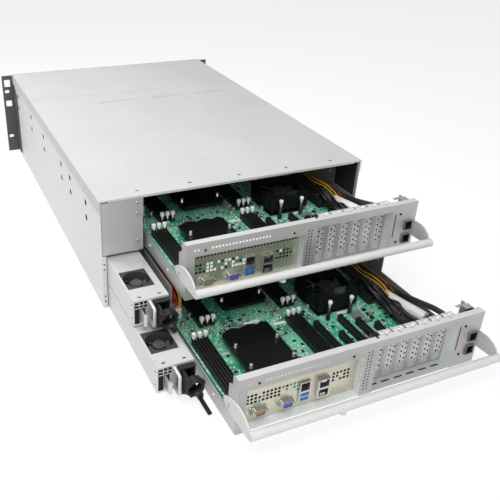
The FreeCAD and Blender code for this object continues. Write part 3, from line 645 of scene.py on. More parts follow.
class ServerFinish(bpy.types.PropertyGroup):
    cover: colour_setting("Lids", "Colour of the two lids", (0.46, 0.46, 0.46))
    wall: colour_setting("Walls", "Colour of the chassis walls", (0.56, 0.56, 0.56))
    panel: colour_setting("Sled panels", "Colour of the sleds' rear panels", (0.40, 0.397, 0.39))
    handle: colour_setting("Handles", "Colour of the sleds' handles", (0.50, 0.50, 0.495))
    socket_plate: colour_setting("Socket plates", "Colour of the recessed pans", (0.60, 0.575, 0.47))
    supply: colour_setting("Supplies", "Colour of the power supplies", (0.51, 0.51, 0.50))
    ear: colour_setting("Ears", "Colour of the rack ears", (0.055, 0.058, 0.062))
    board: colour_setting("Boards", "Colour of the solder mask", (0.05, 0.40, 0.235))


class ServerDetail(bpy.types.PropertyGroup):
    screw_size: bpy.props.FloatProperty(
        name="Screw size", description="Size of the screw heads against an M3 head", default=1.0, min=0.3,
        max=2.0)
    wire_radius: bpy.props.FloatProperty(
        name="Wire radius", description="Radius of a thin wire in millimetres", default=0.9, min=0.3, max=3.0)
    small_parts: bpy.props.IntProperty(
        name="Small parts", description="Count of small components on each board", default=1000, min=0,
        max=3000)


class ServerStudio(bpy.types.PropertyGroup):
    focal_length: bpy.props.FloatProperty(
        name="Focal length", description="Focal length on a 36 mm sensor", default=47.947, unit="CAMERA")
    azimuth: angle_setting("Azimuth", "Turn of the camera to the right of the way to the front", 24.735)
    tilt: angle_setting("Tilt", "How far the camera looks down", 28.372)
    roll: angle_setting("Roll", "Turn of the camera about its own line of sight", 2.039)
    place: bpy.props.FloatVectorProperty(
        name="Place", description="Place of the camera", subtype="TRANSLATION", unit="LENGTH",
        default=(-0.43587, -1.12698, 0.58815))


# Chassis

def lid_screws(rear, top, size):
    """Two rows of flush screws across the lids, each at an even pitch."""
    lid = Surface()
    for first, pitch, count, station in ((-157.6, 81.6, 5, 16.0), (-121.5, 107.3, 4, 652.0)):
        row = [(first + pitch * i, rear + station, top) for i in range(count)]
        screws(lid, row, "+z", 0.9 * size, FLUSH_HEAD)
    lid.piece("lid_screws", "chassis", [screw_steel(), recess_painted_shade()])


def lid_hooks(rear, side, sill, wall):
    """Tongues of the chassis walls that the lids' side flanges hook over."""
    hooks = Surface()
    for sign, station in itertools.product((-1, 1), HOOK_STATIONS):
        x = sorted((sign * (side - 1.3), sign * (side - 0.3)))
        y = rear + station
        hooks.add(blocks((x[0], y - 3.6, sill - 4.0), (x[1], y + 3.6, sill + 2.8), 0.3))
    hooks.piece("lid_hooks", "chassis", [wall])


def wall_shade(rear, half, divider):
    """Painted shade inside the chassis: dark skins inside the walls, tubes that make the rail holes look
    black, and dark discs in the lip's holes.
    """
    shade = Surface((0.0, rear, 0.0))
    inner = half - 1.0
    shade.add(blocks((inner - SKIN, 6.0, 4.0), (inner, BAY_DEPTH, 170.0), 0.02), 0)
    strips = np.array([(-inner, 60.0, 106.0), (inner - SKIN, BAY_DEPTH, 106.0)])
    shade.add(blocks(strips, strips + np.array([(SKIN, 560.0, 44.0), (SKIN, 248.0, 44.0)]), 0.02), 1)
    for (station, radius), height in itertools.product(RAIL_HOLES, RAIL_HOLE_HEIGHTS):
        tube = [round_loop(r, 24) for r in (radius, radius, radius - 0.2, radius - 0.2)]
        for sign, axis in ((-1, "-x"), (1, "+x")):
            centre = (sign * half, station, height)
            shade.add(lofted(tube, (-1.1, -0.03, -0.03, -1.1), centre, axis, closed=True), 1)
    lip_holes = [(3.4 - half, 0.0, z) for z in (11.0, 20.0, 66.0, 75.0)]
    shade.add(turned(lip_holes, ((1.3, -0.3), (1.3, 0.05)), "-y", 12), 1)
    shade.piece("wall_shade", "chassis", [divider, recess_painted_shade()])


def case_screws(side, size):
    """Screws of the blank panel and of the two rack ears, in upright rows."""
    heads = Surface()
    blank_rear = corner("psu_blank_panel")[0][1]
    screws(heads, [(-164.0, blank_rear, z) for z in (106.0, 150.0, 167.0)], "-y", 0.8 * size)
    ear_front = corner("rack_ear_left")[1][1]
    for sign, axis in ((-1, "-x"), (1, "+x")):
        row = [(sign * (side + 0.6), ear_front - 20.0, z) for z in (30.0, 84.0, 126.0)]
        screws(heads, row, axis, 0.8 * size, FLUSH_HEAD)
    heads.piece("case_screws", "chassis", [screw_steel(), recess_painted_shade()])


class SERVER_OT_chassis(bpy.types.Operator):
    """Finishes the chassis and adds its screws, hooks and dark linings of painted shade inside its walls and
    holes
    """
    bl_idname = "server.chassis"
    bl_label = "Chassis"

    def execute(self, context):
        look = context.scene.server_finish
        size = context.scene.server_detail.screw_size
        cover = lid_silver(look)
        wall = sheet_metal("Wall silver", look.wall, 0.3, 0.46, 0.035, 0.7)
        # Inner sheets in zinc darkened as painted shade for the dim inside of the chassis
        zinc = sheet_metal("Inner zinc", (0.22, 0.225, 0.235), 0.7, 0.42, 0.08, 1.4, 4.0)
        ear = sheet_metal("Ear charcoal", look.ear, 0.1, 0.5, 0.1, 2.0, 1.0, 0.12)
        # Dark finish of the divider, which also serves as painted shade on the skin inside the right wall
        divider = sheet_metal("Divider dark", (0.02, 0.02, 0.021), 0.0, 0.7, 0.1, 1.4, 4.0)
        blank = sheet_metal("Blank silver", (0.41, 0.412, 0.416), 0.4, 0.4, 0.05, 0.7)
        dress({"rear_top_cover": cover, "front_top_cover": cover, "chassis_base": wall,
               "psu_blank_panel": blank, "sled_shelf": zinc, "drive_cage": zinc, "fan_wall": zinc,
               "bay_divider": divider, "rack_ear_left": ear, "rack_ear_right": ear})
        low, high = corner("rear_top_cover")
        lid_screws(low[1], high[2], size)
        lid_hooks(low[1], high[0], low[2], wall)
        wall_shade(low[1], corner("chassis_base")[1][0], divider)
        case_screws(high[0], size)
        return {"FINISHED"}


# Power supplies

def supply_window(name, body, origin, guard):
    """Square plate of the fan window with a round hole and the fan's duct under it."""
    window = Surface(origin)
    square = square_loop(*WINDOW_SIZE, 48)
    hole = round_loop(18.5, 48)
    duct = round_loop(18.75, 48)
    loops = [square, hole, hole, duct, duct, square]
    levels = (39.6, 39.6, 21.6, 21.6, 39.05, 39.05)
    window.add(lofted(loops, levels, (*WINDOW_CENTRE, 0.0), "+z", closed=True))
    window.piece(name + "_supply_window", body, [guard])


def supply_handle(name, body, origin, strap):
    """Bent round bar with both ends in the face."""
    path = [(1.0, 35.5), (-12.0, 35.5), (-19.4, 35.0), (-19.4, 28.0), (-19.4, 14.0), (-19.4, 7.0),
            (-12.0, 6.5), (1.0, 6.5)]
    route = [origin + (GRIP_X, y, z) for y, z in path]
    loop = lead(name + "_supply_handle", body, [route], GRIP_R, strap)
    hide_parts(body + "_handle")


def supply_face(name, body, origin, finishes, size):
    """Openings in the face as dark patches of painted shade with their bars, dark notches of the top and
    holes in the left side, also painted shade, and inlet pins.

    The finishes are dark, black and bright, in the order of their slots."""
    face = Surface(origin)
    patches(face, [(-204.8, 20.0)], (7.0, 34.0), 0.0, 0)
    patches(face, [(-196.6, 32.0)], (12.0, 11.0), 0.0, 0)
    bars = np.array([(-207.5, -0.4, h) for h in (27.0, 32.0)])
    face.add(blocks(bars, bars + (17.0, 0.5, 1.2), 0.1), 2)
    bars = np.array([(x, -0.4, 27.0) for x in (-202.2, -196.4)])
    face.add(blocks(bars, bars + (1.2, 0.5, 10.0), 0.1), 2)
    for x in (-199.0, -171.0):
        face.add(blocks((x - 2.4, 6.0, SUPPLY_H - 0.3), (x + 2.4, 8.4, SUPPLY_H + 0.06), 0.05), 0)
    holes = [(SUPPLY_LEFT, 6.0, z) for z in (31.0, 10.0)]
    face.add(turned(holes, ((1.5, -0.2), (1.5, 0.06), (0.6, 0.06)), "-x", 12), 0)
    pins = np.array([(-176.0, 5.0, 17.4), (-168.4, 5.0, 17.4), (-172.2, 5.0, 24.4)])
    face.add(blocks(pins - (0.8, 0.0, 2.2), pins + (0.8, 9.9, 2.2), 0.2), 1)
    screws(face, [(-206.6, 14.0, SUPPLY_H)], "+z", 0.55 * size, FLUSH_HEAD, 2, 0)
    face.piece(name + "_supply_face", body, finishes)


def supply_clamp(name, body, origin, black):
    """Plug clamp: shroud round the inlet, ribbed ring with lugs and a knob, and toothed strap under it."""
    clamp = Surface(origin)
    reach = origin[1] - corner(body + "_inlet")[0][1]
    clamp.add(blocks((-182.5, -31.5, 24.0), (-176.0, -18.5, 33.0), 1.2))
    clamp.add(blocks((-168.5, -33.0, 3.4), (-160.4, -16.0, 11.0), 1.0))
    clamp.add(blocks((-167.0, -reach, 1.9), (-161.2, -2.0, 3.9), 0.5))
    teeth = np.array([(-166.6, y, 3.6) for y in np.arange(2.0 - reach, -30.0, 2.5)])
    clamp.add(blocks(teeth, teeth + (5.0, 1.2, 0.9), 0.2))
    ring = [round_loop(r, 28) for r in (9.8, 11.6, 13.2, 12.2, 13.2, 11.6, 9.8)]
    levels = (18.4, 18.4, 21.0, 25.0, 29.0, 31.6, 31.6)
    clamp.add(lofted(ring, levels, (INLET_X, 0.0, INLET_H), "-y", closed=True), smooth=True)
    for angle in np.radians((20.0, 65.0, 110.0, 150.0, 200.0, 250.0)):
        lug = np.array([INLET_X + 13.4 * math.cos(angle), -25.0, INLET_H + 13.4 * math.sin(angle)])
        clamp.add(blocks(lug - (1.5, 5.0, 1.5), lug + (1.5, 3.0, 1.5), 0.6))
    low = [(-183.6, -9.0, 4.0), (-163.4, -7.0, 4.0), (-183.6, -8.0, 33.4), (-183.6, -18.0, 3.2),
           (-182.4, -19.0, 12.0), (-181.0, -19.0, 28.0)]
    high = [(-180.4, 0.0, 37.0), (-160.4, 0.0, 37.0), (-160.4, 0.0, 37.6), (-160.4, 0.0, 7.4),
            (-180.6, 0.0, 19.0), (-176.0, 0.0, 34.0)]
    clamp.add(blocks(low, high, 1.2))
    knob = ((4.6, 0.0), (4.6, 2.6), (3.6, 3.6), (1.2, 3.8))
    clamp.add(turned((-161.6, -25.0, 19.0), knob, "+x", 16), smooth=True)
    ribs = np.array([(-183.6, -30.0 + 2.4 * i, 25.0) for i in range(5)])
    clamp.add(blocks(ribs, ribs + (1.2, 1.2, 7.0), 0.3))
    clamp.piece(name + "_supply_clamp", body, [black])


class SERVER_OT_supplies(bpy.types.Operator):
    """Finishes the power supplies and adds their fan windows, handles, inlet pins and clamps"""
    bl_idname = "server.supplies"
    bl_label = "Power supplies"

    def execute(self, context):
        look = context.scene.server_finish
        size = context.scene.server_detail.screw_size
        case = sheet_metal("Supply white", look.supply, 0.25, 0.42, 0.03, 1.2)
        strap = sheet_metal("Strap bright", (0.52, 0.52, 0.52), 0.45, 0.36, 0.03, 1.0, 1.0, 0.01)
        guard = plastic("Guard grey", (0.04, 0.04, 0.042), 0.6, gloss=0.2)
        blade = plastic("Blade grey", (0.055, 0.055, 0.057), 0.55, gloss=0.3)
        black = socket_black()
        for name in SUPPLIES:
            body = name + "_psu"
            dress({body + "_case": case, body + "_inlet": black, body + "_latch": strap,
                   body + "_fan": blade})
            origin = supply_origin(name)
            supply_window(name, body, origin, guard)
            supply_handle(name, body, origin, strap)
            supply_face(name, body, origin, [recess_painted_shade(), black, strap], size)
            supply_clamp(name, body, origin, black)
        return {"FINISHED"}


# Sled panels

def perforations(name, body, origin, finishes, random):
    """Square dots, vents and dashes of a panel, a dark notch and slit, and the finish of its well's floor:
    dark patches are painted shade in the openings, pale and dim ones painted light seen through them, green
    ones the board seen through them.

    The finishes are dark, pale, green, panel, dim and cover, in the order of their slots."""
    front = Surface(origin)
    upper = name == "upper"
    # Pale dots and vents on the upper sled and dim ones on the lower: painted light seen through the holes
    bright = 1 if upper else 4
    dots = BAY_X[0] + DOT_PITCH * np.arange(33)
    top_row = np.delete(dots[:23], (2, 3, 4))
    patches(front, np.stack([top_row, np.full(len(top_row), 72.5)], 1), (2.5, 2.5), 0.0, bright)
    patches(front, np.stack([dots, np.full(len(dots), 53.5)], 1), (3.2, 2.5), PLATE_FACE, 0)
    patches(front, grid(30.0, 10.0, DOT_PITCH, 2, 13), (2.1, 2.1), 0.0, 0)
    # Dark slit: painted shadow in the gap beside the well's right wall
    patches(front, [(176.0, 48.0)], (1.8, 38.0), 0.0, 0)
    dashes = np.array([(x - 7.6, 10.2, 1.35) for x in SLOT_CENTRES])
    front.add(blocks(dashes - (6.4, 1.2, 0.3), dashes + (6.4, 1.2, 0.1), 0.05), 0)
    front.add(blocks((WELL_X[0], 0.2, 0.9), (WELL_X[1], WELL_DEPTH, TRAY_FLOOR), 0.05), 5)
    front.add(blocks((43.5, 5.6, SLED_H - 0.1), (47.0, 10.0, SLED_H + 0.06), 0.02), 0)
    # Vents: dark ones as painted shade, pale or dim ones as painted light, green ones as the board seen
    # through them; over the lit part most are pale or green
    vents = np.concatenate([grid(-129.2, 30.8, 5.3, 14, 3), grid(-9.2, 27.8, 5.4, 5, 3)])
    lit = (vents[:, 0] > (-122.0 if upper else -84.0)) & (vents[:, 0] < -20.0)
    shares = ((0.1, 0.5, 0.4), (0.86, 0.04, 0.1))
    kind = np.where(lit, *(random.choice(3, len(vents), p=share) for share in shares))
    for number, slot in enumerate((0, bright, 2)):
        patches(front, vents[kind == number], (3.6, 3.6), PLATE_FACE, slot)
    front.piece(name + "_panel_perforations", body, finishes)


def bay_liner(name, body, origin, finishes):
    """Plated floor and ends of the socket bay and right wall of the well, made paler as painted light, a dark
    strip of painted shade with clips over the covers' tabs, and the pale top of the panel's flange as a
    painted highlight.

    The finishes are plated, dark, bright and pale, in the order of their slots."""
    liner = Surface(origin)
    x0, x1 = BAY_X
    liner.add(blocks((x0, 0.3, 0.9), (x1, PLATE_FACE, TRAY_FLOOR), 0.05), 0)
    liner.add(blocks((x0 - 0.3, 0.3, 1.4), (x0 + 0.12, PLATE_FACE, BAY_TOP), 0.05), 0)
    liner.add(blocks((x1 - 0.12, 0.3, 1.4), (x1 + 0.3, PLATE_FACE, BAY_TOP), 0.05), 0)
    liner.add(blocks((WELL_X[1] - 0.12, 0.3, 1.4), (WELL_X[1] + 0.3, WELL_DEPTH, WELL_TOP), 0.05), 0)
    liner.add(blocks((WELL_X[0] - 1.6, 10.1, TAB_TOP - 0.2), (WELL_X[1] + 1.6, 19.8, TAB_TOP + 0.1), 0.05), 1)
    clips = np.array([(x + dx, y, TAB_TOP) for x in SLOT_CENTRES for dx, y in ((-5.0, 13.0), (6.0, 15.0))])
    liner.add(blocks(clips - (2.4, 0.8, 0.0), clips + (2.4, 0.8, 1.6), 0.3), 2)
    # Pale top of the flange in the lids' silver: a painted highlight
    liner.add(blocks((SLED_LEFT + 0.6, 0.5, SLED_H - 0.1), (SLED_RIGHT - 0.6, 9.7, SLED_H + 0.04), 0.02), 3)
    liner.piece(name + "_bay_liner", body, finishes)


def cover_rims(name, body, origin, finishes):
    """Two staggered rows of rimmed holes and a ring-shaped dimple on each slot cover, the rims and dimples
    bright as painted highlights and a dark disc set low and to the right in each hole as painted shade.

    The finishes are rim, dark and cover, in the order of their slots."""
    rims = Surface(origin)
    holes = [((2.9, -2.9)[i % 2], 65.0 - 4.1 * i) for i in range(12)]
    centres = np.array([(x + dx, COVER_FACE, h) for x in SLOT_CENTRES for dx, h in holes])
    rims.add(turned(centres, ((2.7, -0.1), (2.7, 0.4), (2.2, 0.6), (1.6, 0.1)), "-y", 14), 0, True)
    rims.add(turned(centres + (0.6, 0.0, -0.5), ((1.35, -0.1), (1.35, 0.62)), "-y", 14), 1)
    dimple = [round_loop(r, 24) for r in (5.4, 6.3, 5.4, 4.5)]
    for x in SLOT_CENTRES:
        rims.add(lofted(dimple, (0.0, -0.3, 0.0, 0.6), (x, COVER_FACE, 12.5), "-y", closed=True), 0, True)
    rims.piece(name + "_cover_rims", body, finishes)


def panel_screws(name, body, origin, finishes, size):
    """Screws of the slot covers and of the panel's face, and rivets in the tray's walls.

    The finishes are rivet, dark and screw, in the order of their slots."""
    heads = Surface(origin)
    screws(heads, [(x - 3.0, 7.6, SLED_H) for x in SLOT_CENTRES], "+z", 0.55 * size, FLUSH_HEAD, 2, 2)
    screws(heads, [(x + 2.0, 14.0, TAB_TOP + 0.05) for x in SLOT_CENTRES], "+z", 0.7 * size)
    # Screws of the face wholly in the black of painted shade, so that they look sunk in dark holes
    screws(heads, [(184.0, 0.0, 20.0), (184.0, 0.0, 66.0)], "-y", 0.6 * size, slot=1)
    screws(heads, [(-122.9, 0.0, 70.6), (7.0, 0.0, 69.6)], "-y", 0.55 * size, slot=1)
    stations = list(itertools.product((215.0, 290.0, 360.0), (40.0, 70.0)))
    rows = (("-x", SLED_RIGHT - 1.2, stations), ("+x", SLED_LEFT + 1.2, stations),
            ("-x", SLED_LEFT, [(y, 12.0) for y in (60.0, 130.0, 200.0)]))
    for axis, x, places in rows:
        heads.add(turned([(x, y, h) for y, h in places], RIVET_HEAD, axis, 14), 0, True)
    heads.piece(name + "_panel_screws", body, finishes)


def cheek_plate(name, body, origin, panel):
    """Right cheek of the panel and the tab bent inwards from its top."""
    cheek = Surface(origin)
    cheek.add(blocks((SLED_RIGHT - 1.2, 13.0, 30.0), (SLED_RIGHT, 40.0, 74.6), 0.2))
    cheek.add(blocks((194.0, 29.0, 73.4), (SLED_RIGHT - 1.1, 33.5, 74.6), 0.2))
    cheek.piece(name + "_cheek_plate", body, [panel])


class SERVER_OT_panels(bpy.types.Operator):
    """Finishes the sleds' panels and adds perforations, slot-cover rims, screws and the plated socket bay"""
    bl_idname = "server.panels"
    bl_label = "Sled panels"

    def execute(self, context):
        look = context.scene.server_finish
        size = context.scene.server_detail.screw_size
        panel = sheet_metal("Panel grey", look.panel, 0.55, 0.4, 0.05, 1.2)
        pan = sheet_metal("Pan zinc", look.socket_plate, 0.85, 0.3, 0.12, 2.0, 3.0)
        cover = sheet_metal("Cover zinc", (0.52, 0.52, 0.515), 0.4, 0.4, 0.05, 2.0)
        # Bright rims and dimples round the cover holes are painted highlights; rivets, clips and cover screws
        # share the bright steel
        rim = sheet_metal("Rim bright", (0.78, 0.78, 0.78), 0.4, 0.3, 0.05, 4.0)
        # Plated zinc made paler and bluer as painted light and reflection on the bay's floor and ends and the
        # well's wall
        bay = sheet_metal("Bay zinc", (0.70, 0.75, 0.77), 0.35, 0.3, 0.08, 1.2, 6.0)
        # Tray zinc darkened as painted shade for the dark inside of the bays
        tray = sheet_metal("Tray zinc", (0.40, 0.41, 0.42), 0.45, 0.34, 0.035, 1.0, 4.0)
        handle = sheet_metal("Handle silver", look.handle, 0.12, 0.6, 0.02, 1.5, 1.0)
        # Pale and dim holes are painted light seen through the openings; green ones show the board through
        # them
        pale = plastic("Hole pale", (0.82, 0.82, 0.8), 0.6)
        dim = plastic("Hole dim", (0.5, 0.5, 0.49), 0.6)
        green = plastic("Hole green", (0.05, 0.22, 0.13), 0.5)
        dark = recess_painted_shade()
        random = np.random.default_rng(7)
        for name in SLEDS:
            body = name + "_sled"
            dress({body + "_panel": panel, name + "_io_plate": pan, name + "_slot_covers": cover,
                   body + "_tray": tray, body + "_handle": handle})
            origin = sled_origin(name)
            perforations(name, body, origin, [dark, pale, green, panel, dim, cover], random)
            bay_liner(name, body, origin, [bay, dark, rim, lid_silver(look)])
            cover_rims(name, body, origin, [rim, dark, cover])
            panel_screws(name, body, origin, [rim, dark, screw_steel()], size)
            cheek_plate(name, body, origin, panel)
        return {"FINISHED"}


# Sockets

def memory_places():
    """Middle, near end and far end of each memory socket."""
    rows = [(start + MEMORY_PITCH * i, near, far) for start, near, far in MEMORY_BANKS for i in range(3)]
    return np.array(rows).T


def grooved(surface, x, y0, y1, half, height, slot):
    """Sockets with a long groove: for each a floor, two rails beside the groove and two end blocks."""
    base = np.full(len(x), BOARD_TOP)
    spans = (((-half, half), (0.0, 0.0), (0.0, 3.4)), ((-half, -0.9), (4.0, -4.0), (3.4, height)),
             ((0.9, half), (4.0, -4.0), (3.4, height)))
    for across, along, up in spans:
        low = np.stack([x + across[0], y0 + along[0], base + up[0]], 1)
        high = np.stack([x + across[1], y1 + along[1], base + up[1]], 1)
        surface.add(blocks(low, high, 0.35), slot)
    for start in (y0, y1 - 5.0):
        low = np.stack([x - half, start, base + 3.4], 1)
        high = np.stack([x + half, start + 5.0, base + height + 1.6], 1)
        surface.add(blocks(low, high, 0.4), slot)


def latches(surface, x, y0, y1, slot):
    """Latches that lean outwards at both ends of each socket: a stem with a thicker thumb piece on top."""
    for end, side in ((y0, -1), (y1, 1)):
        parts = ((1.3, -0.4, -4.2, 2.0, 15.5, 0.4, side * 0.08), (2.9, 1.4, -3.4, 12.6, 19.0, 0.7, 0.0))
        for half, outer, inner, foot, top, bevel, lean in parts:
            y = np.sort(np.stack([end + side * outer, end + side * inner], 1), 1)
            low = np.stack([x - half, y[:, 0], np.full(len(x), BOARD_TOP + foot)], 1)
            high = np.stack([x + half, y[:, 1], np.full(len(x), BOARD_TOP + top)], 1)
            surface.add(blocks(low, high, bevel, lean=lean), slot)


def d_socket(surface, x, h, width, insert_slot):
    """D-shaped socket: a flange, a thin shell, its insert with rows of pin holes as dark discs of painted
    shade, and two hexagonal posts.
    """
    centre = (x, 0.0, h)
    flange = rounded_loop(width + 7.0, 11.4, 1.6)
    surface.add(lofted([flange, flange], (-12.6, -11.4), centre, "-y"), 0)
    outer = rounded_loop(width, 8.6, 2.2, taper=0.16)
    inner = rounded_loop(width - 1.0, 7.6, 1.8, taper=0.16)
    shell = [outer, outer, inner, inner]
    surface.add(lofted(shell, (-11.4, -5.0, -5.0, -11.4), centre, "-y", closed=True), 0)
    core = rounded_loop(width - 1.6, 7.0, 1.6, taper=0.16)
    surface.add(lofted([core, core], (-12.0, -6.2), centre, "-y"), insert_slot)
    pins = [(x + dx, 6.2, h + dz) for dz in (-1.7, 1.7) for dx in np.linspace(-0.32, 0.32, 5) * width]
    surface.add(turned(pins, ((0.5, -0.2), (0.5, 0.04)), "-y", 8), 3)
    posts = [(x + side * (width / 2 + 2.4), 11.4, h) for side in (-1, 1)]
    surface.add(turned(posts, ((2.2, 0.0), (2.2, 4.4), (1.8, 4.8), (1.1, 4.8), (1.1, 2.0)), "-y", 6), 0)


def framed(surface, x, z, depth, mouth_x, mouths, slot):
    """Block with mouths in its front, listed upwards: uprights, cross bars and a dark back to every mouth,
    painted shade deep inside it.
    """
    y0, y1 = depth
    left, right = mouth_x
    low = [(x[0], y0, z[0]), (right, y0, z[0])]
    high = [(left, y1, z[1]), (x[1], y1, z[1])]
    level = z[0]
    for floor, roof in mouths:
        low.append((left, y0, level))
        high.append((right, y1, floor))
        level = roof
        surface.add(blocks((left, y0 + 9.0, floor), (right, y1, roof), 0.1), 3)
    low.append((left, y0, level))
    high.append((right, y1, z[1]))
    surface.add(blocks(low, high, 0.15), slot)


def board_sockets(name, body, finishes):
    """Memory sockets with their latches, card sockets, power socket with the dark squares of its pin holes as
    painted shade, and fan socket.

    The finishes are black, ivory, dark and white, in the order of their slots."""
    board = Surface(sled_origin(name))
    x, y0, y1 = memory_places()
    grooved(board, x, y0, y1, 3.2, 8.5, 0)
    latches(board, x, y0, y1, 1)
    card_x, length = np.array(CARD_SOCKETS).T
    start = np.full(len(card_x), CARD_Y)
    grooved(board, card_x, start, start + length, 3.8, 9.6, 0)
    power_top = BOARD_TOP + 14.0
    board.add(blocks((150.0, 150.0, BOARD_TOP), (161.0, 202.0, power_top), 0.5), 0)
    pins = standing(grid(152.8, 154.0, 4.2, 2, 12), power_top)
    board.add(blocks(pins - (1.5, 1.5, 0.3), pins + (1.5, 1.5, 0.06), 0.05), 2)
    board.add(blocks((-134.0, 222.0, BOARD_TOP), (-125.0, 240.0, BOARD_TOP + 18.0), 0.6), 3)
    return board.piece(name + "_board_sockets", body, finishes)


def panel_sockets(name, body, finishes):
    """Two D-shaped sockets, a network socket over two blue ones, a double network socket and two jacks.

    The finishes are steel, black, violet, dark, blue, gold and grey, in the order of their slots."""
    ports = Surface(sled_origin(name))
    d_socket(ports, -114.0, 16.6, 15.4, 5)
    d_socket(ports, -76.6, 16.2, 15.4, 2)
    mouths = ((12.6, 17.8), (19.4, 24.6), (27.6, 39.6))
    framed(ports, (-59.0, -43.5), (11.4, 41.0), (9.0, 21.0), (-57.4, -45.1), mouths, 0)
    tongues = np.array([(-56.8, 9.6, h) for h in (13.0, 19.8)])
    ports.add(blocks(tongues, tongues + (11.1, 8.4, 4.4), 0.3), 4)
    framed(ports, (-34.0, -16.5), (11.4, 39.0), (6.5, 21.0), (-32.0, -18.5), ((13.0, 23.5), (27.0, 37.5)), 0)
    tongues = np.array([(-29.0, 7.7, h) for h in (13.4, 33.4)])
    ports.add(blocks(tongues, tongues + (7.5, 6.0, 3.4), 0.4), 0)
    ports.add(blocks((-33.4, 6.4, 24.2), (-17.1, 7.1, 26.2), 0.1), 0)
    mouth_x = (JACK_X[0] + 1.0, JACK_X[1] - 1.0)
    inner_x = (JACK_X[0] + 1.8, JACK_X[1] - 1.8)
    for low, high in JACK_Z:
        mouth = (low + 1.0, high - 1.0)
        framed(ports, JACK_X, (low, high), (-3.0, 26.0), mouth_x, [mouth], 6)
        framed(ports, mouth_x, mouth, (-2.9, 6.1), inner_x, [(low + 1.8, high - 1.8)], 1)
    return ports.piece(name + "_panel_sockets", body, finishes)


class SERVER_OT_sockets(bpy.types.Operator):
    """Makes the sleds' sockets: memory and card sockets on the board and the plug sockets of the panel"""
    bl_idname = "server.sockets"
    bl_label = "Sockets"

    def execute(self, context):
        steel = sheet_metal("Socket steel", (0.62, 0.61, 0.58), 0.95, 0.24, 0.06, 4.0)
        violet = plastic("Socket violet", (0.07, 0.075, 0.42), 0.4)
        blue = plastic("Socket blue", (0.01, 0.13, 0.55), 0.35)
        ivory = plastic("Latch ivory", (0.86, 0.86, 0.83), 0.45)
        white = plastic("Plug white", (0.84, 0.84, 0.81), 0.45)
        gold = plastic("Socket gold", (0.24, 0.18, 0.07), 0.4)
        grey = plastic("Jack grey", (0.12, 0.12, 0.12), 0.5)
        black = socket_black()
        dark = recess_painted_shade()
        for name in SLEDS:
            body = name + "_sled"
            first = board_sockets(name, body, [black, ivory, dark, white])
            second = panel_sockets(name, body, [steel, black, violet, dark, blue, gold, grey])
            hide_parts(name + "_board_connectors")
            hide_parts(name + "_board_connectors")
        return {"FINISHED"}


# Circuit boards

def board_blocked():
    """Rectangles of the board that are taken by larger parts, as rows of x and y limits."""
    x, y0, y1 = memory_places()
    taken = np.stack([x - 5.0, x + 5.0, y0 - 3.0, y1 + 3.0], 1)
    cards = [(c - 5.5, c + 5.5, CARD_Y - 2.0, CARD_Y + 2.0 + length) for c, length in CARD_SOCKETS]
    rest = [(-99.0, -22.0, 52.0, 160.0), (-70.0, 7.0, 200.0, 308.0), (56.0, 130.0, 147.0, 221.0),
            (148.0, 163.0, 148.0, 204.0), (-136.0, -123.0, 220.0, 242.0), (-128.0, -14.0, 6.0, 23.0),
            (107.0, 131.0, 121.0, 147.0)]
    return np.concatenate([taken, cards, rest])


def board_places(random, count):
    """Random places on the board that are clear of the larger parts."""
    low, high = zip(BOARD_X, BOARD_Y)
    spots = random.uniform(low, high, (count * 3, 2))
    taken = board_blocked()
    inside = ((spots[:, None, 0] > taken[None, :, 0]) & (spots[:, None, 0] < taken[None, :, 1])
              & (spots[:, None, 1] > taken[None, :, 2]) & (spots[:, None, 1] < taken[None, :, 3]))
    return spots[~inside.any(1)][:count]


def small_parts(parts, count):
    """Small components scattered over the free places, each kind in two finishes that take turns."""
    random = np.random.default_rng(11)
    spots = board_places(random, count)
    sizes = np.array([(1.8, 0.9, 0.8), (3.2, 1.6, 1.2), (4.4, 3.6, 1.3), (6.4, 6.4, 3.6)])
    kinds = random.choice(4, len(spots), p=(0.62, 0.22, 0.12, 0.04))
    turn = np.where(random.random(len(spots)) < 0.5, 0.0, np.pi / 2)
    for kind, slots in enumerate(((1, 2), (1, 0), (0, 0), (4, 4))):
        chosen = np.flatnonzero(kinds == kind)
        for first, slot in enumerate(slots):
            share = chosen[first::2]
            low = standing(spots[share]) - sizes[kind] * (0.5, 0.5, 0.0)
            parts.add(blocks(low, low + sizes[kind], 0.15, turn[share]), slot)


def square_parts(parts, places, size, height, bevel, slot):
    """Square parts on the board about their places."""
    low = standing(np.asarray(places) - size / 2)
    parts.add(blocks(low, low + (size, size, height), bevel), slot)


